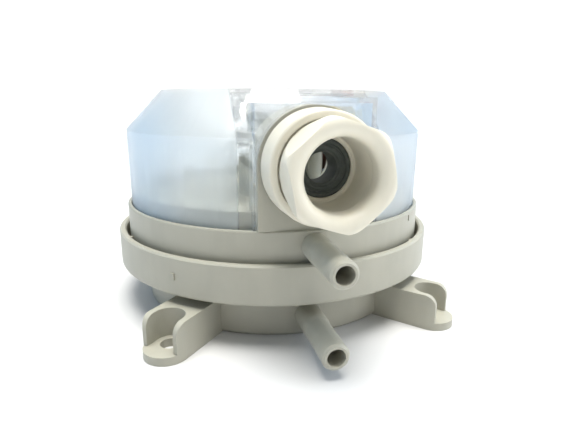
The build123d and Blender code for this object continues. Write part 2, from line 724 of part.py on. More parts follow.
# Setting knob: skirt with a fluted edge, grip bar and threaded spindle
with BuildPart() as setting_knob:
    with BuildSketch(Plane.XY.offset(knob_z)):
        Circle(KNOB_D / 2)
        with PolarLocations(KNOB_D / 2 + KNOB_FLUTE_R / 2, 24):
            Circle(KNOB_FLUTE_R, mode=Mode.SUBTRACT)
    extrude(amount=KNOB_T)
    with BuildSketch(Plane.XY.offset(knob_z + KNOB_T)):
        Circle(KNOB_GRIP_D / 2)
    extrude(amount=KNOB_GRIP_H)
    chamfer(setting_knob.edges().group_by(Axis.Z)[-1], 0.6)
    with BuildSketch(Plane.XY.offset(knob_z + KNOB_T + KNOB_BAR_FOOT)):
        for side in (-1, 1):
            with Locations((0, side * (KNOB_GRIP_D / 4 + KNOB_BAR_T / 2))):
                Rectangle(KNOB_GRIP_D, KNOB_GRIP_D / 2)
    extrude(amount=KNOB_GRIP_H, mode=Mode.SUBTRACT)
    with BuildSketch(Plane.XY.offset(bridge_top + RUN)):
        Circle(KNOB_SHOULDER_D / 2)
    extrude(amount=knob_z - bridge_top - RUN)
    with BuildSketch(Plane.XY.offset(spindle_end)):
        Circle(SPINDLE_D / 2)
    extrude(amount=knob_z - spindle_end)
    with BuildSketch(Plane.XY.offset(bridge_z - RUN - CLIP_RING_T)):
        Circle(SPINDLE_D / 2 + 1)
        Circle(CLIP_GROOVE_D / 2, mode=Mode.SUBTRACT)
    extrude(amount=CLIP_RING_T, mode=Mode.SUBTRACT)
setting_knob.part.label = "setting_knob"
export_step(setting_knob.part, "parts/setting_knob.step")

# Spring clip in the spindle groove
with BuildPart() as knob_clip:
    with BuildSketch(Plane.XY.offset(bridge_z - RUN - CLIP_RING_T)):
        Circle(CLIP_RING_D / 2)
        Circle(CLIP_GROOVE_D / 2, mode=Mode.SUBTRACT)
        with Locations((CLIP_RING_D / 2, 0)):
            Rectangle(CLIP_RING_D, CLIP_GROOVE_D - 0.8, mode=Mode.SUBTRACT)
    extrude(amount=CLIP_RING_T)
knob_clip.part.label = "knob_clip"
export_step(knob_clip.part, "parts/knob_clip.step")

# Microswitch case with two lever ears and three terminal slots
with BuildPart() as switch_body:
    with BuildSketch(Plane.YZ.offset(switch_in)):
        with Locations((0, switch_z + SWITCH_H / 2)):
            RectangleRounded(SWITCH_LEN, SWITCH_H, SWITCH_CORNER)
    extrude(amount=SWITCH_T)
    for side in (-1, 1):
        ear_x = switch_x + side * (LEVER_W / 2 + EAR_GAP + EAR_T / 2) - EAR_T / 2
        with BuildSketch(Plane.YZ.offset(ear_x)):
            with Locations((LEVER_PIVOT_Y, pivot_z)):
                Circle(EAR_D / 2)
            with Locations((LEVER_PIVOT_Y, pivot_z + LEVER_DROP / 2 + EAR_GAP)):
                Rectangle(EAR_D, LEVER_DROP + 2 * EAR_GAP)
        extrude(amount=EAR_T)
    with BuildSketch(Plane.YZ.offset(switch_in)):
        with Locations((LEVER_PIVOT_Y, pivot_z)):
            Circle(LEVER_PIN_D / 2)
        with Locations((-SWITCH_HOLE_PITCH / 2, switch_hole_z), (SWITCH_HOLE_PITCH / 2, switch_hole_z)):
            Circle(SWITCH_SCREW_D / 2 + RUN)
    extrude(amount=SWITCH_T, mode=Mode.SUBTRACT)
    with BuildSketch(Plane.XY.offset(switch_z)):
        with Locations((switch_x, button_y)):
            Circle(BUTTON_D / 2 + PIN_GAP)
    extrude(amount=BUTTON_DEPTH + 1, mode=Mode.SUBTRACT)
    with BuildSketch(Plane.XY.offset(switch_top)):
        with Locations((switch_x, -TAB_PITCH), (switch_x, 0), (switch_x, TAB_PITCH)):
            Rectangle(TAB_W, TAB_T)
    extrude(amount=-TAB_ROOT, mode=Mode.SUBTRACT)
switch_body.part.label = "switch_body"
export_step(switch_body.part, "parts/switch_body.step")

# Button of the microswitch
with BuildPart() as switch_button:
    with BuildSketch(Plane.XY.offset(button_z)):
        with Locations((switch_x, button_y)):
            Circle(BUTTON_D / 2)
    extrude(amount=switch_z + BUTTON_DEPTH - button_z)
    fillet(switch_button.edges().group_by(Axis.Z)[0], 0.4)
switch_button.part.label = "switch_button"
export_step(switch_button.part, "parts/switch_button.step")

# Spring lever of the microswitch with its curled pivot
with BuildPart() as switch_lever:
    with BuildSketch(Plane.YZ.offset(switch_x - LEVER_W / 2)):
        with Locations((LEVER_PIVOT_Y, pivot_z)):
            Circle(LEVER_CURL_D / 2)
        with Locations((LEVER_PIVOT_Y - LEVER_ARM / 2, pivot_z)):
            Rectangle(LEVER_ARM, LEVER_T)
        with Locations((LEVER_PIVOT_Y, pivot_z)):
            Circle(LEVER_PIN_D / 2 + RUN, mode=Mode.SUBTRACT)
    extrude(amount=LEVER_W)
switch_lever.part.label = "switch_lever"
export_step(switch_lever.part, "parts/switch_lever.step")

# Pivot pin of the lever
with BuildPart() as lever_pin:
    pin_half = LEVER_W / 2 + EAR_T + 3 * EAR_GAP
    with BuildSketch(Plane.YZ.offset(switch_x - pin_half)):
        with Locations((LEVER_PIVOT_Y, pivot_z)):
            Circle(LEVER_PIN_D / 2)
    extrude(amount=2 * pin_half)
lever_pin.part.label = "lever_pin"
export_step(lever_pin.part, "parts/lever_pin.step")

# Two screws of the microswitch
with BuildPart() as switch_screws:
    for side in (-1, 1):
        spot = (side * SWITCH_HOLE_PITCH / 2, switch_hole_z)
        with BuildSketch(Plane.YZ.offset(switch_in - SWITCH_HEAD_T)):
            with Locations(spot):
                Circle(SWITCH_HEAD_D / 2)
        extrude(amount=SWITCH_HEAD_T)
        with BuildSketch(Plane.YZ.offset(switch_in)):
            with Locations(spot):
                Circle(SWITCH_SCREW_D / 2)
        extrude(amount=SWITCH_T + BRACKET_T + BRACKET_BOSS_LEN - 0.4)
        with BuildSketch(Plane.YZ.offset(switch_in - SWITCH_HEAD_T)):
            with Locations(spot):
                Rectangle(SWITCH_HEAD_D, SWITCH_SLOT, rotation=25)
        extrude(amount=SWITCH_SLOT, mode=Mode.SUBTRACT)
switch_screws.part.label = "switch_screws"
export_step(switch_screws.part, "parts/switch_screws.step")

# Terminal tabs on the microswitch: common, opening and closing contact
with BuildPart() as common_tab:
    with BuildSketch(Plane.XZ.offset(TAB_PITCH - TAB_T / 2)):
        with Locations((switch_x, switch_top + (TAB_H - TAB_ROOT) / 2)):
            Rectangle(TAB_W, TAB_H + TAB_ROOT)
        with Locations((switch_x, switch_top + TAB_H - TAB_HOLE_DROP)):
            Circle(TAB_HOLE_D / 2, mode=Mode.SUBTRACT)
    extrude(amount=TAB_T)
    chamfer(common_tab.edges().filter_by(Axis.Y).group_by(Axis.Z)[-1], TAB_CORNER)
common_tab.part.label = "common_tab"
export_step(common_tab.part, "parts/common_tab.step")

with BuildPart() as open_tab:
    with BuildSketch(Plane.XZ.offset(-TAB_T / 2)):
        with Locations((switch_x, switch_top + (TAB_H - TAB_ROOT) / 2)):
            Rectangle(TAB_W, TAB_H + TAB_ROOT)
        with Locations((switch_x, switch_top + TAB_H - TAB_HOLE_DROP)):
            Circle(TAB_HOLE_D / 2, mode=Mode.SUBTRACT)
    extrude(amount=TAB_T)
    chamfer(open_tab.edges().filter_by(Axis.Y).group_by(Axis.Z)[-1], TAB_CORNER)
open_tab.part.label = "open_tab"
export_step(open_tab.part, "parts/open_tab.step")

with BuildPart() as close_tab:
    with BuildSketch(Plane.XZ.offset(-TAB_PITCH - TAB_T / 2)):
        with Locations((switch_x, switch_top + (TAB_H - TAB_ROOT) / 2)):
            Rectangle(TAB_W, TAB_H + TAB_ROOT)
        with Locations((switch_x, switch_top + TAB_H - TAB_HOLE_DROP)):
            Circle(TAB_HOLE_D / 2, mode=Mode.SUBTRACT)
    extrude(amount=TAB_T)
    chamfer(close_tab.edges().filter_by(Axis.Y).group_by(Axis.Z)[-1], TAB_CORNER)
close_tab.part.label = "close_tab"
export_step(close_tab.part, "parts/close_tab.step")

# Cover: round skirt, conical shoulder, flat top and the flat window box over the gland arch
slope_r = cover_r - cover_top_r
slope_z = OVERALL_H - shoulder_z
slope_len = (slope_r**2 + slope_z**2) ** 0.5
side_drop = COVER_WALL * (slope_len - slope_z) / slope_r
top_inset = COVER_WALL * (slope_len - slope_r) / slope_z
with BuildPart() as cover:
    with BuildSketch(Plane.XZ):
        with BuildLine():
            Polyline(
                (0, cover_foot_z),
                (cover_foot_r, cover_foot_z),
                (cover_r, shoulder_z),
                (cover_top_r, OVERALL_H),
                (0, OVERALL_H),
                close=True,
            )
        make_face()
    revolve(axis=Axis.Z)
    with BuildSketch(Plane.XZ.offset(arch_back)):
        with Locations((0, (lip_z + WINDOW_FOOT + window_top) / 2)):
            Rectangle(2 * window_half, window_top - lip_z - WINDOW_FOOT)
    extrude(amount=window_front - arch_back)
    with BuildSketch(Plane.XZ.offset(window_front)):
        with Locations((0, OVERALL_H / 2)):
            Rectangle(2 * window_half, 2 * OVERALL_H)
    extrude(amount=cover_r - window_front + 1, mode=Mode.SUBTRACT)
    with BuildSketch(Plane.XZ):
        with BuildLine():
            Polyline(
                (0, cover_foot_z),
                (cover_foot_r - COVER_WALL, cover_foot_z),
                (cover_r - COVER_WALL, shoulder_z - side_drop),
                (cover_top_r - top_inset, OVERALL_H - COVER_WALL),
                (0, OVERALL_H - COVER_WALL),
                close=True,
            )
        make_face()
    revolve(axis=Axis.Z, mode=Mode.SUBTRACT)
    with BuildSketch(Plane.XZ):
        with Locations((0, (arch_r + ARCH_GAP + gland_z) / 2)):
            Rectangle(2 * (window_half - WINDOW_WALL), arch_r + ARCH_GAP + gland_z)
    extrude(amount=window_front - WINDOW_WALL, mode=Mode.SUBTRACT)
    with BuildSketch(gland_face.offset(arch_back)):
        Circle(arch_r + ARCH_GAP)
        with Locations((0, -gland_z / 2)):
            Rectangle(2 * (arch_r + ARCH_GAP), gland_z)
    extrude(amount=window_front, mode=Mode.SUBTRACT)
cover.part.label = "cover"
export_step(cover.part, "parts/cover.step")

# Flat gasket under the cover's edge, open where the gland arch stands
with BuildPart() as cover_gasket:
    with BuildSketch(Plane.XY.offset(groove_z)):
        Circle(lip_bore - FREE)
        Circle(upstand_r + FREE, mode=Mode.SUBTRACT)
        with Locations((0, -housing_r)):
            Rectangle(2 * (arch_r + ARCH_GAP), housing_r, mode=Mode.SUBTRACT)
    extrude(amount=GASKET_T)
cover_gasket.part.label = "cover_gasket"
export_step(cover_gasket.part, "parts/cover_gasket.step")

# Sealing washer between the gland collar and the arch
with BuildPart() as gland_washer:
    with BuildSketch(gland_face.offset(arch_front)):
        Circle(collar_r - WASHER_INSET)
        Circle(rear_r + FREE, mode=Mode.SUBTRACT)
    extrude(amount=WASHER_T)
gland_washer.part.label = "gland_washer"
export_step(gland_washer.part, "parts/gland_washer.step")

# Gland body: collar, front stub under the nut and rear stub through the arch
with BuildPart() as gland_body:
    with BuildSketch(gland_half):
        with BuildLine():
            Polyline(
                (rear_end, seal_r - SEAL_LIP),
                (rear_end, rear_r),
                (collar_back, rear_r),
                (collar_back, collar_r - COLLAR_EDGE / 2),
                (collar_back + COLLAR_EDGE / 2, collar_r),
                (collar_front - COLLAR_EDGE, collar_r - COLLAR_TAPER),
                (collar_front, collar_r - COLLAR_TAPER - COLLAR_EDGE),
                (collar_front, stub_r),
                (stub_front, stub_r),
                (stub_front, GLAND_BORE / 2),
                (seal_front, GLAND_BORE / 2),
                (seal_front, seal_r + RUN),
                (seal_back, seal_r + RUN),
                (seal_back, seal_r - SEAL_LIP),
                close=True,
            )
        make_face()
    revolve(axis=gland_axis)
gland_body.part.label = "gland_body"
export_step(gland_body.part, "parts/gland_body.step")

# Rubber seal with the cable hole
with BuildPart() as gland_seal:
    with BuildSketch(gland_half):
        with BuildLine():
            Polyline(
                (seal_back, CABLE_HOLE / 2 + SEAL_EDGE),
                (seal_back, seal_r),
                (seal_front - SEAL_EDGE, seal_r),
                (seal_front, seal_r - SEAL_EDGE),
                (seal_front, CABLE_HOLE / 2 + SEAL_EDGE),
                (seal_front - SEAL_EDGE, CABLE_HOLE / 2),
                (seal_back + SEAL_EDGE, CABLE_HOLE / 2),
                close=True,
            )
        make_face()
    revolve(axis=gland_axis)
gland_seal.part.label = "gland_seal"
export_step(gland_seal.part, "parts/gland_seal.step")

# Clamping nut: hexagon with a coned back, a strongly rounded front and a round mouth
with BuildPart() as gland_nut:
    with BuildSketch(gland_face.offset(nut_back)):
        RegularPolygon(nut_half, 6, major_radius=False, rotation=NUT_TURN)
    extrude(amount=NUT_LEN)
    with BuildSketch(gland_half):
        with BuildLine():
            Polyline(
                (nut_front, nut_corner_r - NUT_ROUND),
                (nut_front, 0),
                (nut_back, 0),
                (nut_back, nut_half - NUT_RIM_STEP),
                (nut_back + NUT_CONE, nut_corner_r),
                (nut_front - NUT_ROUND, nut_corner_r),
            )
            CenterArc((nut_front - NUT_ROUND, nut_corner_r - NUT_ROUND), NUT_ROUND, 0, 90)
        make_face()
    revolve(axis=gland_axis, mode=Mode.INTERSECT)
    with BuildSketch(gland_face.offset(nut_back)):
        Circle(stub_r + RUN)
    extrude(amount=stub_front + NUT_END - nut_back, mode=Mode.SUBTRACT)
    with BuildSketch(gland_face.offset(nut_back)):
        Circle(mouth_r)
    extrude(amount=NUT_LEN, mode=Mode.SUBTRACT)
gland_nut.part.label = "gland_nut"
export_step(gland_nut.part, "parts/gland_nut.step")

# Locknut behind the arch
with BuildPart() as gland_locknut:
    with BuildSketch(gland_face.offset(locknut_face - LOCKNUT_T)):
        RegularPolygon(locknut_half, 6, major_radius=False, rotation=30)
        Circle(rear_r + RUN, mode=Mode.SUBTRACT)
    extrude(amount=LOCKNUT_T)
gland_locknut.part.label = "gland_locknut"
export_step(gland_locknut.part, "parts/gland_locknut.step")
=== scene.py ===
"""Looks of a round differential pressure switch with a clear cover, a cable gland and two hose spigots.

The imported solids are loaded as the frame. Each class below dresses or rebuilds one sub-assembly with a
turned, extruded or cut mesh and a procedural finish. Lengths are in millimetres until a mesh is made, and
in metres in the scene.
"""
import json
import logging
import math
from contextlib import contextmanager
from dataclasses import dataclass
from enum import Enum
from typing import Iterator, Sequence, Union

import bpy
from mathutils import Matrix, Vector

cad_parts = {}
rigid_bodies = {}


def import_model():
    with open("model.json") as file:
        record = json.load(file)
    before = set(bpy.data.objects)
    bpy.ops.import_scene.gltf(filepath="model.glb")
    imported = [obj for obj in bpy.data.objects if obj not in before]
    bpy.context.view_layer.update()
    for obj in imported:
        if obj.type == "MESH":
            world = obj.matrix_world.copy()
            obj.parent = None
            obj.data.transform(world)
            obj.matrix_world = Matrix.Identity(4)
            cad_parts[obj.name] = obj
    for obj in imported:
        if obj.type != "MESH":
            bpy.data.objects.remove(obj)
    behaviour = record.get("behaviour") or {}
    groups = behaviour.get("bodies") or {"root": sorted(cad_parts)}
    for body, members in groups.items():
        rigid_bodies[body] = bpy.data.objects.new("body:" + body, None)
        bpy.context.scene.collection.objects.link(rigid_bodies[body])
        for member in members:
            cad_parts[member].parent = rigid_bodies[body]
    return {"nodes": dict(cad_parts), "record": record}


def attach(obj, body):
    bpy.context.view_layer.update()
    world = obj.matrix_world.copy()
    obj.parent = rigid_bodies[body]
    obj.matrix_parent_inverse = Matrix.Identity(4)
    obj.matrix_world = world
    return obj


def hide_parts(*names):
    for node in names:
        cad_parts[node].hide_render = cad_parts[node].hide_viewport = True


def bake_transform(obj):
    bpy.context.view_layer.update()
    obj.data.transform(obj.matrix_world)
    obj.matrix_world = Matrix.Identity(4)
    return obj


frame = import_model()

LOG = logging.getLogger("switch")
MM = 0.001
SMOOTH_DEG = 32.0
PLASTIC_IOR = 1.5
CLEAR_IOR = 1.49
Number = Union[int, float]
Colour = tuple[float, float, float]
Point2 = tuple[float, float]
Point3 = tuple[float, float, float]
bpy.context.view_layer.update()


class Body(Enum):
    """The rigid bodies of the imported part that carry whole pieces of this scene."""

    HOUSING = "housing"
    KNOB = "knob"
    LID = "lid"
    NUT = "nut"


# Shader graph


class Value:
    """A socket of a shader graph with the usual operators, each of which adds a Math node."""

    def __init__(self, graph: "Graph", socket: bpy.types.NodeSocket) -> None:
        """Wrap a socket.

        Args:
            graph: The graph that owns the socket.
            socket: An output socket.
        """
        self.graph = graph
        self.socket = socket

    def _with(self, operation: str, other: "Value | Number", swapped: bool = False) -> "Value":
        """Join this value and another one in a Math node."""
        pair = (other, self) if swapped else (self, other)
        return self.graph.node("ShaderNodeMath", {"operation": operation}, {0: pair[0], 1: pair[1]})

    def __add__(self, other: "Value | Number") -> "Value":
        """Sum."""
        return self._with("ADD", other)

    def __radd__(self, other: Number) -> "Value":
        """Sum, reflected."""
        return self._with("ADD", other, True)

    def __sub__(self, other: "Value | Number") -> "Value":
        """Difference."""
        return self._with("SUBTRACT", other)

    def __rsub__(self, other: Number) -> "Value":
        """Difference, reflected."""
        return self._with("SUBTRACT", other, True)

    def __mul__(self, other: "Value | Number") -> "Value":
        """Product."""
        return self._with("MULTIPLY", other)

    def __rmul__(self, other: Number) -> "Value":
        """Product, reflected."""
        return self._with("MULTIPLY", other, True)

    def __pow__(self, other: "Value | Number") -> "Value":
        """Power."""
        return self._with("POWER", other)

    def __abs__(self) -> "Value":
        """Absolute value."""
        return self.graph.node("ShaderNodeMath", {"operation": "ABSOLUTE"}, {0: self})

    def largest(self, other: "Value | Number") -> "Value":
        """The higher of two values."""
        return self._with("MAXIMUM", other)

    def step(self, low: float, high: float) -> "Value":
        """A smooth rise from 0 at low to 1 at high.

        Args:
            low: Where the rise starts.
            high: Where the rise ends.

        Returns:
            The mask.
        """
        return self.graph.node(
            "ShaderNodeMapRange", {"interpolation_type": "SMOOTHSTEP"}, {0: self, 1: low, 2: high, 3: 0.0, 4: 1.0}
        )


Constants = dict[str, object]
Changing = dict[str, Value]


class Graph:
    """A material's node tree, closed by one or two Principled shaders."""

    def __init__(self, name: str) -> None:
        """Start an empty material.

        Args:
            name: The material's name.
        """
        self.material = bpy.data.materials.new(name)
        self.material.use_nodes = True
        self.tree = self.material.node_tree
        self.tree.nodes.clear()
        self.output = self.tree.nodes.new("ShaderNodeOutputMaterial")
        self._place: Value | None = None

    def raw(self, kind: str, settings: dict[str, object] | None = None, links: dict | None = None) -> bpy.types.Node:
        """Add a node, set it up and link it.

        Args:
            kind: The node's type.
            settings: Its properties.
            links: Socket name or number to a Value, or to a plain number, vector or colour.

        Returns:
            The node.
        """
        made = self.tree.nodes.new(kind)
        for key, value in (settings or {}).items():
            setattr(made, key, value)
        for key, value in (links or {}).items():
            if isinstance(value, Value):
                self.tree.links.new(value.socket, made.inputs[key])
            elif isinstance(value, tuple) and len(value) == 3 and made.inputs[key].type == "RGBA":
                made.inputs[key].default_value = (*value, 1.0)
            else:
                made.inputs[key].default_value = value
        return made

    def node(
        self, kind: str, settings: dict[str, object] | None = None, links: dict | None = None, out: int | str = 0
    ) -> Value:
        """Add a node and give one of its outputs.

        Args:
            kind: The node's type.
            settings: Its properties.
            links: Its sockets' values or links.
            out: The output's number or name.

        Returns:
            The output as a Value.
        """
        return Value(self, self.raw(kind, settings, links).outputs[out])

    def place(self) -> Value:
        """Object coordinates in metres."""
        if self._place is None:
            self._place = self.node("ShaderNodeTexCoord", out="Object")
        return self._place

    def axis(self, name: str) -> Value:
        """One of the coordinates, in metres: X, Y or Z."""
        return self.node("ShaderNodeSeparateXYZ", {}, {0: self.place()}, name)

    def noise(self, scale: float, detail: float = 2.0, rough: float = 0.5, stretch: Point3 | None = None) -> Value:
        """Noise on the object's coordinates.

        Args:
            scale: Waves per metre.
            detail: Octaves.
            rough: Weight of the finer octaves.
            stretch: Scale of each axis before the noise is read.

        Returns:
            A value around 0.5.
        """
        where = self.place()
        if stretch:
            where = self.node("ShaderNodeMapping", {}, {"Vector": where, "Scale": stretch})
        return self.node(
            "ShaderNodeTexNoise", {}, {"Vector": where, "Scale": scale, "Detail": detail, "Roughness": rough}
        )

    def mix(self, mask: Value | float, first: Value | Colour, second: Value | Colour) -> Value:
        """Blend two colours.

        Args:
            mask: 0 gives the first colour and 1 the second.
            first: A colour.
            second: A colour.

        Returns:
            The blended colour.
        """
        return self.node("ShaderNodeMix", {"data_type": "RGBA"}, {0: mask, 6: first, 7: second}, 2)

    def bump(self, height: Value, depth_mm: float) -> Value:
        """A normal from a height.

        Args:
            height: 0 to 1.
            depth_mm: What a height of 1 is, in millimetres.

        Returns:
            The normal.
        """
        return self.node("ShaderNodeBump", {}, {"Strength": 1.0, "Distance": depth_mm * MM, "Height": height})

    def surface(self, constants: Constants, changing: Changing) -> bpy.types.Material:
        """Close the graph with one Principled shader.

        Args:
            constants: Values that are the same all over.
            changing: Values and colours that change over the surface.

        Returns:
            The finished material.
        """
        shader = self.raw("ShaderNodeBsdfPrincipled", {}, {**constants, **changing})
        self.tree.links.new(shader.outputs[0], self.output.inputs[0])
        return self.material

    def blended(
        self, mask: Value, first: tuple[Constants, Changing], second: tuple[Constants, Changing]
    ) -> bpy.types.Material:
        """Close the graph with two Principled shaders and a mask.

        Args:
            mask: 0 gives the first shader and 1 the second.
            first: Constant and changing values of the first shader.
            second: Constant and changing values of the second shader.

        Returns:
            The finished material.
        """
        join = self.raw("ShaderNodeMixShader", {}, {0: mask})
        for number, (constants, changing) in enumerate((first, second), 1):
            shader = self.raw("ShaderNodeBsdfPrincipled", {}, {**constants, **changing})
            self.tree.links.new(shader.outputs[0], join.inputs[number])
        self.tree.links.new(join.outputs[0], self.output.inputs[0])
        return self.material


# Finishes


def shade(colour: Colour, factor: float) -> Colour:
    """Darken or lighten a colour.

    Args:
        colour: The colour.
        factor: Below 1 is darker and above 1 is lighter.

    Returns:
        The new colour, with no channel above 1.
    """
    return tuple(min(1.0, channel * factor) for channel in colour)


@dataclass(frozen=True)
class Moulded:
    """Moulded plastic with a fine grain, faint flow marks, small dark specks and slightly uneven colour."""

    name: str
    colour: Colour
    rough: float = 0.45
    glow: float = 0.0
    glow_mm: float = 0.8
    glow_spread: Colour = (0.9, 0.7, 0.5)
    mottle: float = 0.05
    cloud_scale: float = 55.0
    cloud_share: float = 0.65
    cloud_edges: Point2 = (0.38, 0.62)
    flow_scale: float = 240.0
    flow_stretch: Point3 = (1.0, 1.0, 0.25)
    speck_scale: float = 3100.0
    speck_edges: Point2 = (0.70, 0.80)
    speck_share: float = 0.18
    speck_shade: float = 0.62
    grain_scale: float = 2600.0
    grain_share: float = 0.7
    grain_mm: float = 0.02

    def make(self) -> bpy.types.Material:
        """Build the material.

        Returns:
            The finished material.
        """
        g = Graph(self.name)
        cloud = g.noise(self.cloud_scale, 3.0, 0.55)
        flow = g.noise(self.flow_scale, 2.0, 0.6, self.flow_stretch)
        speck = g.noise(self.speck_scale, 1.0)
        grain = g.noise(self.grain_scale, 2.0, 0.6)
        mask = (cloud * self.cloud_share + flow * (1.0 - self.cloud_share)).step(*self.cloud_edges)
        dark, light = shade(self.colour, 1.0 - self.mottle), shade(self.colour, 1.0 + 0.6 * self.mottle)
        specks = speck.step(*self.speck_edges) * self.speck_share
        colour = g.mix(specks, g.mix(mask, dark, light), shade(self.colour, self.speck_shade))
        rough = self.rough - 0.05 + flow * 0.06 + speck * 0.05
        height = grain * self.grain_share + flow * (1.0 - self.grain_share)
        return g.surface(
            {
                "IOR": PLASTIC_IOR,
                "Subsurface Weight": self.glow,
                "Subsurface Radius": self.glow_spread,
                "Subsurface Scale": self.glow_mm * MM,
            },
            {"Base Color": colour, "Roughness": rough, "Normal": g.bump(height, self.grain_mm)},
        )


@dataclass(frozen=True)
class CoverPlastic:
    """Clear plastic, frosted round the skirt and shoulder and polished on the top and the window box; the frost is
    painted bluer towards both sides for the bluish side light.
    """

    name: str
    tint: Colour = (0.92, 0.955, 0.98)
    frost_tint: Colour = (0.83, 0.876, 0.895)
    # painted side light: blue tint that the frost takes on towards both sides
    side_tint: Colour = (0.64, 0.80, 0.94)
    side_mm: Point2 = (25.0, 40.0)
    clear_share: float = 0.4
    frost_share: float = 0.86
    frost_cover: float = 0.72
    clear_rough: float = 0.02
    frost_rough: float = 0.34
    window_mm: Point2 = (16.1, 16.9)
    front_mm: Point2 = (-20.0, -18.0)
    top_mm: Point2 = (31.0, 31.3)
    frost_mm: float = 0.012
    frost_scale: float = 5200.0
    wave_scale: float = 70.0
    flow_scale: float = 180.0
    flow_stretch: Point3 = (1.0, 1.0, 0.3)

    @staticmethod
    def _rise(value: Value, span_mm: Point2) -> Value:
        """A mask that rises over a span in millimetres."""
        return value.step(span_mm[0] * MM, span_mm[1] * MM)

    def make(self) -> bpy.types.Material:
        """Build the material: the frost starts beside and behind the window box and outside the flat top.

        Returns:
            The finished material.
        """
        g = Graph(self.name)
        x, y = g.axis("X"), g.axis("Y")
        radius = (x * x + y * y) ** 0.5
        around = self._rise(abs(x), self.window_mm).largest(self._rise(y, self.front_mm))
        frost = around * self._rise(radius, self.top_mm)
        fine = g.noise(self.frost_scale, 3.0, 0.65)
        wave = g.noise(self.wave_scale, 2.0)
        flow = g.noise(self.flow_scale, 2.0, 0.5, self.flow_stretch)
        # painted side light: the frost's colour is mixed towards the blue tint at both sides, where bluish light
        # falls from the sides
        hue = g.mix(self._rise(abs(x), self.side_mm), self.frost_tint, self.side_tint)
        clear = {
            "Base Color": (*self.tint, 1.0),
            "Transmission Weight": 1.0,
            "IOR": CLEAR_IOR,
            "Alpha": self.clear_share,
        }
        milky = {"Transmission Weight": self.frost_share, "IOR": CLEAR_IOR, "Alpha": self.frost_cover}
        polished = {"Roughness": self.clear_rough + wave * 0.012, "Normal": g.bump(wave, self.frost_mm * 0.12)}
        frosted = {
            "Base Color": hue,
            "Roughness": self.frost_rough - 0.06 + flow * 0.12,
            "Normal": g.bump(fine, self.frost_mm),
        }
        return g.blended(frost, (clear, polished), (milky, frosted))


@dataclass(frozen=True)
class Ink:
    """Matt printing ink with slightly worn, uneven cover."""

    name: str
    colour: Colour = (0.03, 0.03, 0.032)
    worn_colour: Colour = (0.13, 0.13, 0.132)
    worn_scale: float = 2200.0
    worn_edges: Point2 = (0.50, 0.72)
    rough: float = 0.45

    def make(self) -> bpy.types.Material:
        """Build the material.

        Returns:
            The finished material.
        """
        g = Graph(self.name)
        worn = g.noise(self.worn_scale, 3.0, 0.6)
        colour = g.mix(worn.step(*self.worn_edges), self.colour, self.worn_colour)
        return g.surface({"IOR": PLASTIC_IOR}, {"Base Color": colour, "Roughness": self.rough + worn * 0.2})


@dataclass(frozen=True)
class Rubber:
    """Dull rubber with a dusty bloom."""

    name: str
    colour: Colour
    rough: float = 0.62
    bloom: float = 0.25
    bloom_level: float = 0.42
    bloom_share: float = 0.35
    bloom_edges: Point2 = (0.45, 0.75)
    cloud_scale: float = 420.0
    grain_scale: float = 2400.0
    grain_mm: float = 0.02

    def make(self) -> bpy.types.Material:
        """Build the material.

        Returns:
            The finished material.
        """
        g = Graph(self.name)
        cloud = g.noise(self.cloud_scale, 4.0, 0.65)
        grain = g.noise(self.grain_scale, 2.0, 0.6)
        pale = tuple(c + (self.bloom_level - c) * self.bloom_share for c in self.colour)
        colour = g.mix(cloud.step(*self.bloom_edges) * self.bloom, self.colour, pale)
        rough = self.rough + cloud * 0.12 - 0.06
        normal = g.bump(grain, self.grain_mm)
        return g.surface({"IOR": PLASTIC_IOR}, {"Base Color": colour, "Roughness": rough, "Normal": normal})


@dataclass(frozen=True)
class Metal:
    """Plated or drawn metal with fine lines and small stains."""

    name: str
    colour: Colour
    rough: float = 0.3
    stain: float = 0.2
    stain_scale: float = 300.0
    stain_edges: Point2 = (0.48, 0.75)
    stain_shade: float = 0.62
    line_scale: float = 2600.0
    line_mm: float = 0.004

    def make(self) -> bpy.types.Material:
        """Build the material.

        Returns:
            The finished material.
        """
        g = Graph(self.name)
        lines = g.noise(self.line_scale, 2.0, 0.6)
        cloud = g.noise(self.stain_scale, 3.0, 0.6)
        stains = cloud.step(*self.stain_edges) * self.stain
        colour = g.mix(stains, self.colour, shade(self.colour, self.stain_shade))
        rough = self.rough + lines * 0.14 - 0.07 + cloud * 0.08
        normal = g.bump(lines, self.line_mm)
        return g.surface({"Metallic": 1.0}, {"Base Color": colour, "Roughness": rough, "Normal": normal})


def palette() -> dict[str, bpy.types.Material]:
    """Make the finish of each material slot of the record.

    Returns:
        Slot name to material.
    """
    return {
        # painted shade: the housing gets the gland's cream plastic at little more than half its brightness, so the
        # shade on its front faces is painted into its colour
        "housing": Moulded("beige_housing_painted_shade", (0.405, 0.395, 0.33), glow=0.1).make(),
        "gland": Moulded("beige_gland", (0.72, 0.685, 0.575), 0.4, glow=0.12).make(),
        "cover": CoverPlastic("cover_plastic").make(),
        "seal": Rubber("black_rubber", (0.055, 0.066, 0.058)).make(),
        "silicone": Rubber("red_silicone", (0.50, 0.13, 0.07), 0.5, 0.1).make(),
        "plate": Metal("pressed_sheet", (0.78, 0.79, 0.80)).make(),
        "pusher": Moulded("natural_acetal", (0.82, 0.81, 0.76), 0.35).make(),
        "spring": Metal("spring_wire", (0.55, 0.55, 0.53), 0.28).make(),
        "knob": Moulded("grey_knob", (0.40, 0.41, 0.39), 0.42).make(),
        "scale": Moulded("white_scale", (0.86, 0.86, 0.83), 0.4).make(),
        "switch_case": Moulded("brown_phenolic", (0.20, 0.075, 0.035), 0.42).make(),
        "button": Moulded("red_button", (0.55, 0.04, 0.03), 0.3).make(),
        "lever": Metal("bright_strip", (0.68, 0.67, 0.64), 0.25).make(),
        "terminal": Metal("dulled_brass", (0.80, 0.70, 0.45)).make(),
        "screw": Metal("zinc_plate", (0.66, 0.66, 0.67)).make(),
    }


# Modelling


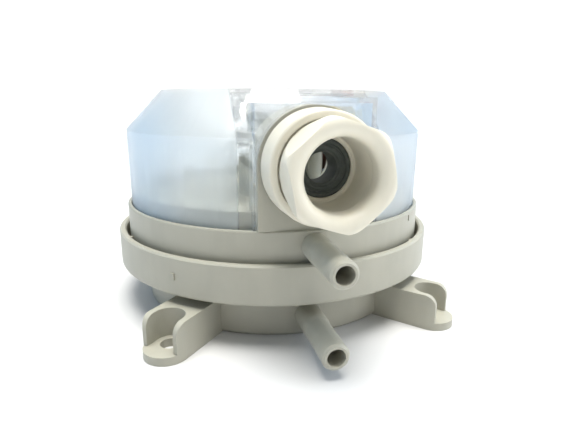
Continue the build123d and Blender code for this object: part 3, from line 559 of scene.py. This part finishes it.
class Bench:
    """The modelling operators, kept in one place."""

    @staticmethod
    def clear() -> None:
        """Leave edit mode and deselect everything."""
        if bpy.context.object and bpy.context.object.mode != "OBJECT":
            bpy.ops.object.mode_set(mode="OBJECT")
        bpy.ops.object.select_all(action="DESELECT")

    @staticmethod
    def only(piece: bpy.types.Object) -> None:
        """Select one piece and make it active.

        Args:
            piece: The piece.
        """
        Bench.clear()
        piece.select_set(True)
        bpy.context.view_layer.objects.active = piece

    @staticmethod
    @contextmanager
    def editing(piece: bpy.types.Object) -> Iterator[None]:
        """Work in edit mode on all of a piece's mesh.

        Args:
            piece: The piece.

        Returns:
            Nothing, once the mesh is ready to be worked on.
        """
        Bench.only(piece)
        bpy.ops.object.mode_set(mode="EDIT")
        bpy.ops.mesh.select_all(action="SELECT")
        yield
        bpy.ops.object.mode_set(mode="OBJECT")

    @staticmethod
    def twin(piece: bpy.types.Object, name: str) -> bpy.types.Object:
        """Copy a piece with its mesh.

        Args:
            piece: The piece.
            name: The copy's name.

        Returns:
            The copy, selected and active.
        """
        Bench.only(piece)
        bpy.ops.object.duplicate()
        copy = bpy.context.object
        copy.name = name
        return copy

    @staticmethod
    def freed(node: str, name: str, flat_deg: float = 0.0, merge_mm: float = 0.001) -> bpy.types.Object:
        """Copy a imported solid, take off the packing's marks and merge its loose triangles.

        Args:
            node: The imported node.
            name: The copy's name.
            flat_deg: Triangles that turn by less than this become one face, in degrees. 0 keeps them.
            merge_mm: Corners nearer than this become one, in millimetres.

        Returns:
            The copy, which rides on nothing yet.
        """
        piece = Bench.twin(frame["nodes"][node], name)
        for mark in list(piece.keys()):
            del piece[mark]
        bpy.ops.object.parent_clear(type="CLEAR_KEEP_TRANSFORM")
        with Bench.editing(piece):
            bpy.ops.mesh.remove_doubles(threshold=merge_mm * MM)
            if flat_deg:
                bpy.ops.mesh.dissolve_limited(angle_limit=math.radians(flat_deg))
        return piece

    @staticmethod
    def place(piece: bpy.types.Object, turn: Point3 = (0.0, 0.0, 0.0), spot: Point3 = (0.0, 0.0, 0.0)) -> None:
        """Turn and move a piece, and leave its place in its mesh.

        Args:
            piece: The piece.
            turn: Angles about X, Y and Z, in degrees.
            spot: Where its own origin goes, in millimetres.
        """
        Bench.only(piece)
        piece.rotation_euler = tuple(math.radians(a) for a in turn)
        piece.location = tuple(c * MM for c in spot)
        bpy.ops.object.transform_apply(location=True, rotation=True, scale=True)

    @staticmethod
    def stretch(piece: bpy.types.Object, scale: Point3) -> None:
        """Scale a piece along X, Y and Z, and leave the result in its mesh."""
        piece.scale = scale
        bpy.ops.object.transform_apply(location=False, rotation=False, scale=True)

    @staticmethod
    def rounded(corners: Sequence[Point3], steps: int = 5) -> list[Point2]:
        """Round the corners of a closed outline.

        Args:
            corners: Radius, height and rounding of each corner, in millimetres. A rounding of 0 is sharp.
            steps: Points on each rounding, less one.

        Returns:
            The outline as radius and height of each point.
        """
        done: list[Point2] = []
        for k, (wide, high, rounding) in enumerate(corners):
            if not rounding:
                done.append((wide, high))
                continue
            here = Vector((wide, high))
            back = (Vector(corners[k - 1][:2]) - here).normalized()
            ahead = (Vector(corners[(k + 1) % len(corners)][:2]) - here).normalized()
            half = back.angle(ahead) / 2.0
            reach = rounding / math.tan(half)
            middle = here + (back + ahead).normalized() * (rounding / math.sin(half))
            first, last = here + back * reach - middle, here + ahead * reach - middle
            sweep = first.angle_signed(last)
            for j in range(steps + 1):
                turn = -sweep * j / steps
                cos, sin = math.cos(turn), math.sin(turn)
                spoke = Vector((first.x * cos - first.y * sin, first.x * sin + first.y * cos))
                done.append(tuple(middle + spoke))
        return done

    @staticmethod
    def turned(name: str, outline: Sequence[Point2], segments: int = 128) -> bpy.types.Object:
        """Turn a closed outline round Z: a ring is extruded from corner to corner and closed on itself.

        Args:
            name: The piece's name.
            outline: Corners as (radius, height) in millimetres, all off the axis.
            segments: Facets round the axis.

        Returns:
            The piece, with its axis on Z.
        """
        Bench.clear()
        radius, height = outline[0]
        bpy.ops.mesh.primitive_circle_add(
            vertices=segments, radius=radius * MM, fill_type="NOTHING", location=(0.0, 0.0, height * MM)
        )
        piece = bpy.context.object
        piece.name = name
        bpy.ops.object.transform_apply(location=True, rotation=True, scale=True)
        with Bench.editing(piece):
            for wide, high in [*outline[1:], outline[0]]:
                rise = (0.0, 0.0, (high - height) * MM)
                bpy.ops.mesh.extrude_region_move(TRANSFORM_OT_translate={"value": rise})
                grow = wide / radius
                bpy.ops.transform.resize(value=(grow, grow, 1.0), center_override=(0.0, 0.0, 0.0))
                radius, height = wide, high
            bpy.ops.mesh.select_all(action="SELECT")
            bpy.ops.mesh.remove_doubles(threshold=MM * MM)
            bpy.ops.mesh.normals_make_consistent(inside=False)
        return piece

    @staticmethod
    def prism(name: str, sides: int, across: float, length: float, turn: float) -> bpy.types.Object:
        """Make a bar with flat sides along Z, from height 0 up.

        Args:
            name: The piece's name.
            sides: Number of sides.
            across: Distance across its flats, in millimetres.
            length: Its length, in millimetres.
            turn: Angle of its first corner about Z, in degrees.

        Returns:
            The bar.
        """
        Bench.clear()
        bpy.ops.mesh.primitive_cylinder_add(
            vertices=sides,
            radius=across / 2.0 / math.cos(math.pi / sides) * MM,
            depth=length * MM,
            location=(0.0, 0.0, length / 2.0 * MM),
            rotation=(0.0, 0.0, math.radians(turn - 90.0)),
        )
        piece = bpy.context.object
        piece.name = name
        bpy.ops.object.transform_apply(location=True, rotation=True, scale=True)
        return piece

    @staticmethod
    def cut(piece: bpy.types.Object, normal: Point3, spot: Point3 = (0.0, 0.0, 0.0)) -> None:
        """Cut a piece with a plane and close the cut.

        Args:
            piece: The piece.
            normal: The plane's normal, towards the side that goes.
            spot: A point of the plane, in millimetres.
        """
        with Bench.editing(piece):
            bpy.ops.mesh.bisect(
                plane_co=tuple(c * MM for c in spot), plane_no=normal, use_fill=True, clear_outer=True
            )

    @staticmethod
    def shared(piece: bpy.types.Object, tool: bpy.types.Object) -> None:
        """Keep what a piece shares with a tool.

        Args:
            piece: The piece.
            tool: The other piece, which is used up.
        """
        Bench.only(piece)
        step = piece.modifiers.new("shared", "BOOLEAN")
        step.operation = "INTERSECT"
        step.solver = "EXACT"
        step.object = tool
        bpy.ops.object.modifier_apply(modifier=step.name)
        bpy.data.objects.remove(tool, do_unlink=True)

    @staticmethod
    def soften(piece: bpy.types.Object, width: float, angle: float = 30.0, segments: int = 3) -> None:
        """Round a piece's sharp edges.

        Args:
            piece: The piece.
            width: Width of the rounding, in millimetres.
            angle: Edges that turn by more than this are rounded, in degrees.
            segments: Facets across the rounding.
        """
        Bench.only(piece)
        step = piece.modifiers.new("soften", "BEVEL")
        step.width = width * MM
        step.limit_method = "ANGLE"
        step.angle_limit = math.radians(angle)
        step.segments = segments
        step.harden_normals = False
        bpy.ops.object.modifier_apply(modifier=step.name)

    @staticmethod
    def dress(piece: bpy.types.Object, slot: str, finish: bpy.types.Material, replaced: Sequence[str] = ()) -> None:
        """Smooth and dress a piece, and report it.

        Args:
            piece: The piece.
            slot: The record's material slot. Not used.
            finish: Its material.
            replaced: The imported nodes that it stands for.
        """
        Bench.only(piece)
        bpy.ops.object.shade_smooth_by_angle(angle=math.radians(SMOOTH_DEG))
        piece.data.materials.clear()
        piece.data.materials.append(finish)
        if replaced:
            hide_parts(*replaced)
        LOG.info("made %s with %d faces", piece.name, len(piece.data.polygons))

    @staticmethod
    def finish(
        piece: bpy.types.Object, body: Body, slot: str, finish: bpy.types.Material, replaced: Sequence[str] = ()
    ) -> None:
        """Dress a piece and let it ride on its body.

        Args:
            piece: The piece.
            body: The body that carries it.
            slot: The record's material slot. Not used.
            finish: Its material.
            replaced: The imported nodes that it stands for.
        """
        Bench.dress(piece, slot, finish, replaced)
        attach(piece, body.value)


# Studio


@dataclass(frozen=True)
class Lamp:
    """A square soft light."""

    name: str
    spot: Point3
    aim: Point3
    size: float
    watts: float
    colour: Colour

    def hang(self) -> None:
        """Hang the light and turn it to what it faces."""
        data = bpy.data.lights.new(self.name, "AREA")
        data.shape = "SQUARE"
        data.size = self.size
        data.energy = self.watts
        data.color = self.colour
        lamp = bpy.data.objects.new(self.name, data)
        bpy.context.scene.collection.objects.link(lamp)
        lamp.location = self.spot
        lamp.rotation_euler = (Vector(self.aim) - Vector(self.spot)).to_track_quat("-Z", "Y").to_euler()


@dataclass(frozen=True)
class Sun:
    """A far soft light that comes from one side."""

    name: str
    side: Point3
    strength: float
    spread_deg: float
    colour: Colour

    def hang(self) -> None:
        """Add the light."""
        data = bpy.data.lights.new(self.name, "SUN")
        data.energy = self.strength
        data.angle = math.radians(self.spread_deg)
        data.color = self.colour
        lamp = bpy.data.objects.new(self.name, data)
        bpy.context.scene.collection.objects.link(lamp)
        lamp.rotation_euler = (-Vector(self.side)).to_track_quat("-Z", "Y").to_euler()


@dataclass
class Studio:
    """Pale floor, soft lights and the camera where the photographer stood."""

    place: Point3 = (-29.9, -133.9, 55.36)
    azimuth: float = -12.6
    yaw: float = 1.9
    pitch: float = 14.32
    roll: float = 0.46
    pixels: float = 452.7
    width: float = 577.0
    sensor_mm: float = 36.0
    clip: Point2 = (0.005, 100.0)
    floor_size: float = 60.0
    floor_drop: float = 0.00002
    floor_colour: Colour = (0.66, 0.663, 0.667)
    floor_rough: float = 0.9
    sky_span: Point2 = (-0.5, 0.3)
    sky_levels: Point2 = (0.12, 1.08)
    seen_sky: float = 1.06
    side_span: Point2 = (0.25, 0.85)
    main_sky: Colour = (0.99, 0.99, 0.985)
    side_sky: Colour = (0.46, 0.71, 1.0)
    lights: tuple[Lamp | Sun, ...] = (
        Sun("top_light", (0.0, -0.03, 1.0), 4.4, 36.0, (1.0, 0.98, 0.93)),
        Lamp("right_light", (0.68, -0.28, 0.26), (0.0, 0.0, 0.03), 0.5, 2.7, (0.97, 0.985, 1.0)),
        Lamp("front_light", (0.12, -0.55, 0.42), (0.0, -0.03, 0.04), 0.35, 0.4, (1.0, 0.985, 0.94)),
    )

    def camera(self) -> None:
        """Put the camera at the place solved from the photo."""
        data = bpy.data.cameras.new("camera")
        data.sensor_width = self.sensor_mm
        data.lens = self.sensor_mm * self.pixels / self.width
        data.clip_start, data.clip_end = self.clip
        eye = bpy.data.objects.new("camera", data)
        bpy.context.scene.collection.objects.link(eye)
        look = (
            Matrix.Rotation(math.radians(self.azimuth - self.yaw), 4, "Z")
            @ Matrix.Rotation(math.radians(90.0 - self.pitch), 4, "X")
            @ Matrix.Rotation(math.radians(self.roll), 4, "Z")
        )
        eye.matrix_world = Matrix.Translation(Vector(self.place) * MM) @ look
        bpy.context.scene.camera = eye

    def floor(self) -> None:
        """Lay a large pale floor."""
        Bench.clear()
        bpy.ops.mesh.primitive_plane_add(size=self.floor_size, location=(0.0, 0.0, -self.floor_drop))
        ground = bpy.context.object
        ground.name = "floor"
        paint = {"Base Color": (*self.floor_colour, 1.0), "Roughness": self.floor_rough}
        ground.data.materials.append(Graph("pale_floor").surface(paint, {}))

    @staticmethod
    def _range(
        tree: bpy.types.NodeTree, source: bpy.types.NodeSocket, span: Point2, ends: Point2
    ) -> bpy.types.NodeSocket:
        """Map a span of a value to two ends.

        Args:
            tree: The node tree.
            source: The value.
            span: Where the change starts and stops.
            ends: What the value becomes at both.

        Returns:
            The result's socket.
        """
        ramp = tree.nodes.new("ShaderNodeMapRange")
        for number, value in enumerate((*span, *ends), 1):
            ramp.inputs[number].default_value = value
        tree.links.new(source, ramp.inputs[0])
        return ramp.outputs[0]

    def _level(
        self, tree: bpy.types.NodeTree, depth: bpy.types.NodeSocket, path: bpy.types.Node
    ) -> bpy.types.NodeSocket:
        """Strength of the sky: weaker on the camera's side for soft light, and even where it is seen or mirrored.

        Args:
            tree: The sky's node tree.
            depth: The direction's share along Y.
            path: The Light Path node.

        Returns:
            The strength's socket.
        """
        level = tree.nodes.new("ShaderNodeMix")
        level.inputs[2].default_value = self.seen_sky
        tree.links.new(path.outputs["Is Diffuse Ray"], level.inputs[0])
        tree.links.new(self._range(tree, depth, self.sky_span, self.sky_levels), level.inputs[3])
        return level.outputs[0]

    def _hue(
        self, tree: bpy.types.NodeTree, across: bpy.types.NodeSocket, path: bpy.types.Node
    ) -> bpy.types.NodeSocket:
        """Colour of the sky: bluer at both sides, and plain white where the camera sees it.

        Args:
            tree: The sky's node tree.
            across: The direction's share along X.
            path: The Light Path node.

        Returns:
            The colour's socket.
        """
        side = tree.nodes.new("ShaderNodeMath")
        side.operation = "ABSOLUTE"
        tree.links.new(across, side.inputs[0])
        hue, plain = tree.nodes.new("ShaderNodeMix"), tree.nodes.new("ShaderNodeMix")
        hue.data_type = plain.data_type = "RGBA"
        hue.inputs[6].default_value = (*self.main_sky, 1.0)
        hue.inputs[7].default_value = (*self.side_sky, 1.0)
        plain.inputs[7].default_value = (1.0, 1.0, 1.0, 1.0)
        tree.links.new(self._range(tree, side.outputs[0], self.side_span, (0.0, 1.0)), hue.inputs[0])
        tree.links.new(path.outputs["Is Camera Ray"], plain.inputs[0])
        tree.links.new(hue.outputs[2], plain.inputs[6])
        return plain.outputs[2]

    def sky(self) -> None:
        """Fill the surroundings with a soft white sky."""
        world = bpy.data.worlds.new("studio")
        bpy.context.scene.world = world
        world.use_nodes = True
        tree = world.node_tree
        split = tree.nodes.new("ShaderNodeSeparateXYZ")
        tree.links.new(tree.nodes.new("ShaderNodeTexCoord").outputs["Generated"], split.inputs[0])
        path = tree.nodes.new("ShaderNodeLightPath")
        back = tree.nodes["Background"]
        tree.links.new(self._level(tree, split.outputs["Y"], path), back.inputs["Strength"])
        tree.links.new(self._hue(tree, split.outputs["X"], path), back.inputs["Color"])

    def build(self) -> None:
        """Set up the whole studio."""
        self.camera()
        self.floor()
        self.sky()
        for light in self.lights:
            light.hang()
        bpy.context.scene.view_settings.view_transform = "Standard"


# Sub-assemblies


@dataclass
class Cover:
    """The clear cover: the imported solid's copy with its edges rounded, so that they catch the light."""

    edge_mm: float = 0.28
    edge_deg: float = 25.0
    flat_deg: float = 0.5

    def build(self, plastic: bpy.types.Material) -> None:
        """Copy the cover, join its triangles into whole faces and round its edges.

        Args:
            plastic: The cover's plastic.
        """
        piece = Bench.freed("cover", "clear_cover", self.flat_deg)
        Bench.soften(piece, self.edge_mm, self.edge_deg, 2)
        Bench.finish(piece, Body.LID, "cover", plastic, ["cover"])


@dataclass
class Yielding:
    """The pieces that give: the spring between the plates and its cup, and the diaphragm under the plates."""

    coil_low_mm: float = 17.5
    coil_high_mm: float = 33.2
    slices: int = 24
    web_mm: float = 29.2
    clamp_mm: float = 36.0

    def spring(self, wire: bpy.types.Material) -> None:
        """Cut the spring at its middle into a lower half and an upper half.

        Args:
            wire: The spring's wire.
        """
        middle = (self.coil_low_mm + self.coil_high_mm) / 2
        whole = Bench.freed("range_spring", "range_coil")
        for name, body, end, away in (
            ("range_coil_low", "plates", self.coil_low_mm, 1.0),
            ("range_coil_high", "cup", self.coil_high_mm, -1.0),
        ):
            piece = Bench.twin(whole, name)
            Bench.cut(piece, (0.0, 0.0, away), (0.0, 0.0, middle))
            Bench.dress(piece, "spring", wire, ["range_spring"])
            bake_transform(piece)
        bpy.data.objects.remove(whole, do_unlink=True)

    def diaphragm(self, silicone: bpy.types.Material) -> None:
        """Cut one slice of the diaphragm and copy it round.

        Args:
            silicone: The diaphragm's rubber.
        """
        half = math.pi / self.slices
        whole = Bench.freed("diaphragm", "diaphragm_slice")
        for side in (-1.0, 1.0):
            Bench.cut(whole, (-math.sin(half), side * math.cos(half), 0.0))
        for k in range(self.slices):
            piece = Bench.twin(whole, f"diaphragm_slice_{k + 1:02d}")
            angle = 2.0 * half * k
            Bench.place(piece, (0.0, 0.0, math.degrees(angle)))
            Bench.dress(piece, "silicone", silicone, ["diaphragm"])
            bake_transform(piece)
        bpy.data.objects.remove(whole, do_unlink=True)

    def build(self, wire: bpy.types.Material, silicone: bpy.types.Material) -> None:
        """Make the spring and the diaphragm.

        Args:
            wire: The spring's wire.
            silicone: The diaphragm's rubber.
        """
        self.spring(wire)
        self.diaphragm(silicone)


@dataclass
class Gland:
    """The cable gland: collar with its stubs, clamping nut and rubber seal, along -Y from the arch."""

    axis_mm: float = 41.998
    washer_face_mm: float = 41.8
    fit_mm: float = 0.05
    collar_mm: float = 24.5
    collar_len_mm: float = 7.5
    collar_taper_mm: float = 0.35
    bore_mm: float = 14.4
    stub_mm: float = 17.9
    stub_len_mm: float = 5.0
    rear_mm: float = 16.4
    rear_len_mm: float = 10.4
    slot_mm: float = 10.3
    slot_deep_mm: float = 1.4
    seal_mm: float = 12.5
    seal_len_mm: float = 6.7
    seal_depth_mm: float = 3.6
    seal_lip_mm: float = 0.4
    seat_cone_mm: Point2 = (0.35, 0.3)
    hole_mm: float = 6.5
    hole_lip_mm: Point2 = (0.5, 0.7)
    ring_mm: Point2 = (0.9, 1.6)
    ring_flank_mm: float = 0.1
    ring_deep_mm: float = 0.35
    nut_gap_mm: float = 0.25
    nut_len_mm: float = 9.3
    nut_across_mm: float = 19.9
    nut_corner_mm: float = 11.3
    nut_back_mm: float = 10.0
    nut_cone_mm: float = 7.0
    nut_round_mm: float = 1.75
    nut_mouth_mm: float = 2.25
    nut_ridge_mm: float = 1.3
    nut_flare_mm: float = 0.05
    nut_turn_deg: float = 42.0
    nut_segments: int = 192
    seal_segments: int = 96

    def _seat(self, piece: bpy.types.Object, depth: float = 0.0) -> None:
        """Lay a piece along -Y at the gland's axis, with its foot at the washer plus a depth."""
        Bench.place(piece, (90.0, 0.0, 0.0), (0.0, -(self.washer_face_mm + depth), self.axis_mm))

    def collar(self, plastic: bpy.types.Material) -> None:
        """Turn the gland body: collar with a slot round its front stub, seal seat and rear stub.

        Args:
            plastic: The gland's plastic.
        """
        front = self.collar_len_mm
        slot_foot, stub_front = front - self.slot_deep_mm, front + self.stub_len_mm
        seal_front = front - self.seal_depth_mm
        seal_back = seal_front - self.seal_len_mm
        collar, stub, rear = self.collar_mm / 2, self.stub_mm / 2, self.rear_mm / 2
        bore, seal = self.bore_mm / 2, self.seal_mm / 2 + self.fit_mm
        shoulder = self.seal_mm / 2 - self.seal_lip_mm
        cone_wide, cone_high = self.seat_cone_mm
        corners = [
            (shoulder, -self.rear_len_mm, 0.0),
            (rear, -self.rear_len_mm, 0.4),
            (rear, 0.0, 0.0),
            (collar, 0.0, 0.45),
            (collar - self.collar_taper_mm, front, 0.6),
            (self.slot_mm, front, 0.1),
            (self.slot_mm, slot_foot, 0.0),
            (stub, slot_foot, 0.0),
            (stub, stub_front, 0.3),
            (bore, stub_front, 0.04),
            (bore, seal_front + cone_high, 0.12),
            (bore - cone_wide, seal_front, 0.0),
            (seal, seal_front, 0.0),
            (seal, seal_back, 0.0),
            (shoulder, seal_back, 0.0),
        ]
        piece = Bench.turned("gland_collar", Bench.rounded(corners))
        self._seat(piece)
        Bench.finish(piece, Body.HOUSING, "gland", plastic, ["gland_body"])

    def nut(self, plastic: bpy.types.Material) -> None:
        """Cut the clamping nut from a six-sided bar: coned back, rounded front and a rounded mouth.

        Args:
            plastic: The gland's plastic.
        """
        length, corner = self.nut_len_mm, self.nut_corner_mm
        bore, thread = self.bore_mm / 2, self.stub_mm / 2 + self.fit_mm
        thread_end = self.stub_len_mm - self.nut_gap_mm + self.fit_mm
        corners = [
            (thread, 0.0, 0.0),
            (self.nut_back_mm, 0.0, 0.15),
            (corner, self.nut_cone_mm, 0.5),
            (corner, length, self.nut_round_mm),
            (bore + self.nut_flare_mm, length, self.nut_mouth_mm),
            (bore, thread_end, 0.0),
            (thread, thread_end, 0.0),
        ]
        piece = Bench.turned("gland_clamp_nut", Bench.rounded(corners, 10), self.nut_segments)
        bar = Bench.prism("gland_nut_bar", 6, self.nut_across_mm, length * 3.0, self.nut_turn_deg)
        Bench.place(bar, (0.0, 0.0, 0.0), (0.0, 0.0, -length))
        Bench.soften(bar, self.nut_ridge_mm, 40.0, 5)
        Bench.shared(piece, bar)
        Bench.soften(piece, 0.25, 20.0)
        self._seat(piece, self.collar_len_mm + self.nut_gap_mm)
        Bench.finish(piece, Body.NUT, "gland", plastic, ["gland_nut"])

    def seal(self, rubber: bpy.types.Material) -> None:
        """Turn the rubber seal with its rounded lips and a shallow groove on its face.

        Args:
            rubber: The seal's rubber.
        """
        front = self.collar_len_mm - self.seal_depth_mm
        back = front - self.seal_len_mm
        outer, hole = self.seal_mm / 2, self.hole_mm / 2
        (ring_out, ring_in), flank, floor = self.ring_mm, self.ring_flank_mm, front - self.ring_deep_mm
        lip_in, lip_out = self.hole_lip_mm
        corners = [
            (hole, back, 0.4),
            (outer, back, 0.3),
            (outer, front, 0.3),
            (outer - ring_out, front, 0.1),
            (outer - ring_out - flank, floor, 0.0),
            (outer - ring_in + flank, floor, 0.0),
            (outer - ring_in, front, 0.1),
            (hole + lip_out, front, 0.15),
            (hole + lip_in, front - 0.3, 0.0),
            (hole, front - lip_in, 0.3),
        ]
        piece = Bench.turned("gland_rubber_seal", Bench.rounded(corners), self.seal_segments)
        self._seat(piece)
        Bench.finish(piece, Body.HOUSING, "seal", rubber, ["gland_seal"])

    def build(self, plastic: bpy.types.Material, rubber: bpy.types.Material) -> None:
        """Make all pieces of the gland.

        Args:
            plastic: The gland's plastic.
            rubber: The seal's rubber.
        """
        self.collar(plastic)
        self.nut(plastic)
        self.seal(rubber)


@dataclass
class Dial:
    """Plain numbers and ticks printed on the scale plate, and the pointer on the knob's skirt."""

    plate_mm: float = 43.0
    print_mm: float = 0.04
    number_r_mm: float = 15.6
    letter_mm: float = 2.0
    tick_in_mm: float = 12.6
    long_tick_mm: Point2 = (1.3, 0.28)
    short_tick_mm: Point2 = (0.715, 0.16)
    start_deg: float = 292.0
    sweep_deg: float = 225.0
    numbers: tuple[int, ...] = (50, 100, 200, 300, 400, 500)
    tick_every: float = 25.0
    skirt_mm: float = 46.6
    pointer_r_mm: float = 9.8
    pointer_thick_mm: float = 0.12
    pointer_shape: Point3 = (0.9, 1.3, 1.0)

    def _angle(self, number: float) -> float:
        """Angle of a number on the scale, in degrees."""
        share = (number - self.numbers[0]) / (self.numbers[-1] - self.numbers[0])
        return self.start_deg - self.sweep_deg * share

    @staticmethod
    def _spot(angle: float, radius: float, height: float) -> Point3:
        """The point at an angle, a radius and a height, in millimetres."""
        turn = math.radians(angle)
        return (radius * math.cos(turn), radius * math.sin(turn), height)

    def number(self, value: int, ink: bpy.types.Material) -> None:
        """Print one number, read from outside the plate.

        Args:
            value: The number.
            ink: The ink.
        """
        Bench.clear()
        bpy.ops.object.text_add()
        word = bpy.context.object
        word.data.body = str(value)
        word.data.size = self.letter_mm * MM
        word.data.align_x = "CENTER"
        word.data.align_y = "CENTER"
        word.data.extrude = self.print_mm / 2 * MM
        bpy.ops.object.convert(target="MESH")
        word.name = f"scale_number_{value}"
        angle = self._angle(value)
        spot = self._spot(angle, self.number_r_mm, self.plate_mm + self.print_mm / 2)
        Bench.place(word, (0.0, 0.0, angle + 90.0), spot)
        Bench.finish(word, Body.HOUSING, "scale", ink)

    def blank(self, name: str, size: Point2) -> bpy.types.Object:
        """Make a tick at the origin.

        Args:
            name: Its name.
            size: Its length and width, in millimetres.

        Returns:
            The tick, ready to be copied.
        """
        Bench.clear()
        bpy.ops.mesh.primitive_cube_add(size=MM)
        mark = bpy.context.object
        mark.name = name
        Bench.stretch(mark, (*size, self.print_mm))
        Bench.soften(mark, 0.012, 30.0, 1)
        return mark

    def ticks(self, ink: bpy.types.Material) -> None:
        """Copy a long tick to each number and a short one between them.

        Args:
            ink: Printing ink.
        """
        long, short = self.blank("long_tick", self.long_tick_mm), self.blank("short_tick", self.short_tick_mm)
        for k in range(int((self.numbers[-1] - self.numbers[0]) / self.tick_every) + 1):
            value = self.numbers[0] + self.tick_every * k
            blank, size = (long, self.long_tick_mm) if value in self.numbers else (short, self.short_tick_mm)
            mark = Bench.twin(blank, f"scale_tick_{round(value * 10)}")
            angle = self._angle(value)
            spot = self._spot(angle, self.tick_in_mm + size[0] / 2, self.plate_mm + self.print_mm / 2)
            Bench.place(mark, (0.0, 0.0, angle), spot)
            Bench.finish(mark, Body.HOUSING, "scale", ink)
        for blank in (long, short):
            bpy.data.objects.remove(blank, do_unlink=True)

    def pointer(self, white: bpy.types.Material) -> None:
        """Set a tapered white pointer on the skirt of the knob.

        Args:
            white: The pointer's paint.
        """
        Bench.clear()
        bpy.ops.mesh.primitive_cylinder_add(vertices=3, radius=MM, depth=self.pointer_thick_mm * MM)
        mark = bpy.context.object
        mark.name = "knob_pointer"
        Bench.stretch(mark, self.pointer_shape)
        Bench.soften(mark, 0.045, 30.0, 2)
        spot = self._spot(self.start_deg, self.pointer_r_mm, self.skirt_mm + self.pointer_thick_mm / 2)
        Bench.place(mark, (0.0, 0.0, self.start_deg - 90.0), spot)
        Bench.finish(mark, Body.KNOB, "scale", white)

    def build(self, ink: bpy.types.Material, white: bpy.types.Material) -> None:
        """Print the scale and mark the knob.

        Args:
            ink: Printing ink.
            white: The pointer's paint.
        """
        for value in self.numbers:
            self.number(value, ink)
        self.ticks(ink)
        self.pointer(white)


def dress_nodes(finishes: dict[str, bpy.types.Material]) -> None:
    """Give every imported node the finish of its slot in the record.

    Args:
        finishes: Slot name to material.
    """
    slots = {part["node"]: part["material_slot"] for part in frame["record"]["subparts"]}
    for name, node in frame["nodes"].items():
        node.data.materials.clear()
        node.data.materials.append(finishes[slots[name]])
        LOG.info("dressed %s", name)


def main() -> None:
    """Build the studio and dress the part."""
    logging.basicConfig(level=logging.INFO, format="%(message)s")
    Studio().build()
    finishes = palette()
    dress_nodes(finishes)
    Cover().build(finishes["cover"])
    Yielding().build(finishes["spring"], finishes["silicone"])
    Gland().build(finishes["gland"], finishes["seal"])
    Dial().build(Ink("scale_ink").make(), Moulded("pointer_white", (0.85, 0.85, 0.83), 0.4).make())


if __name__ == "__main__":
    main()
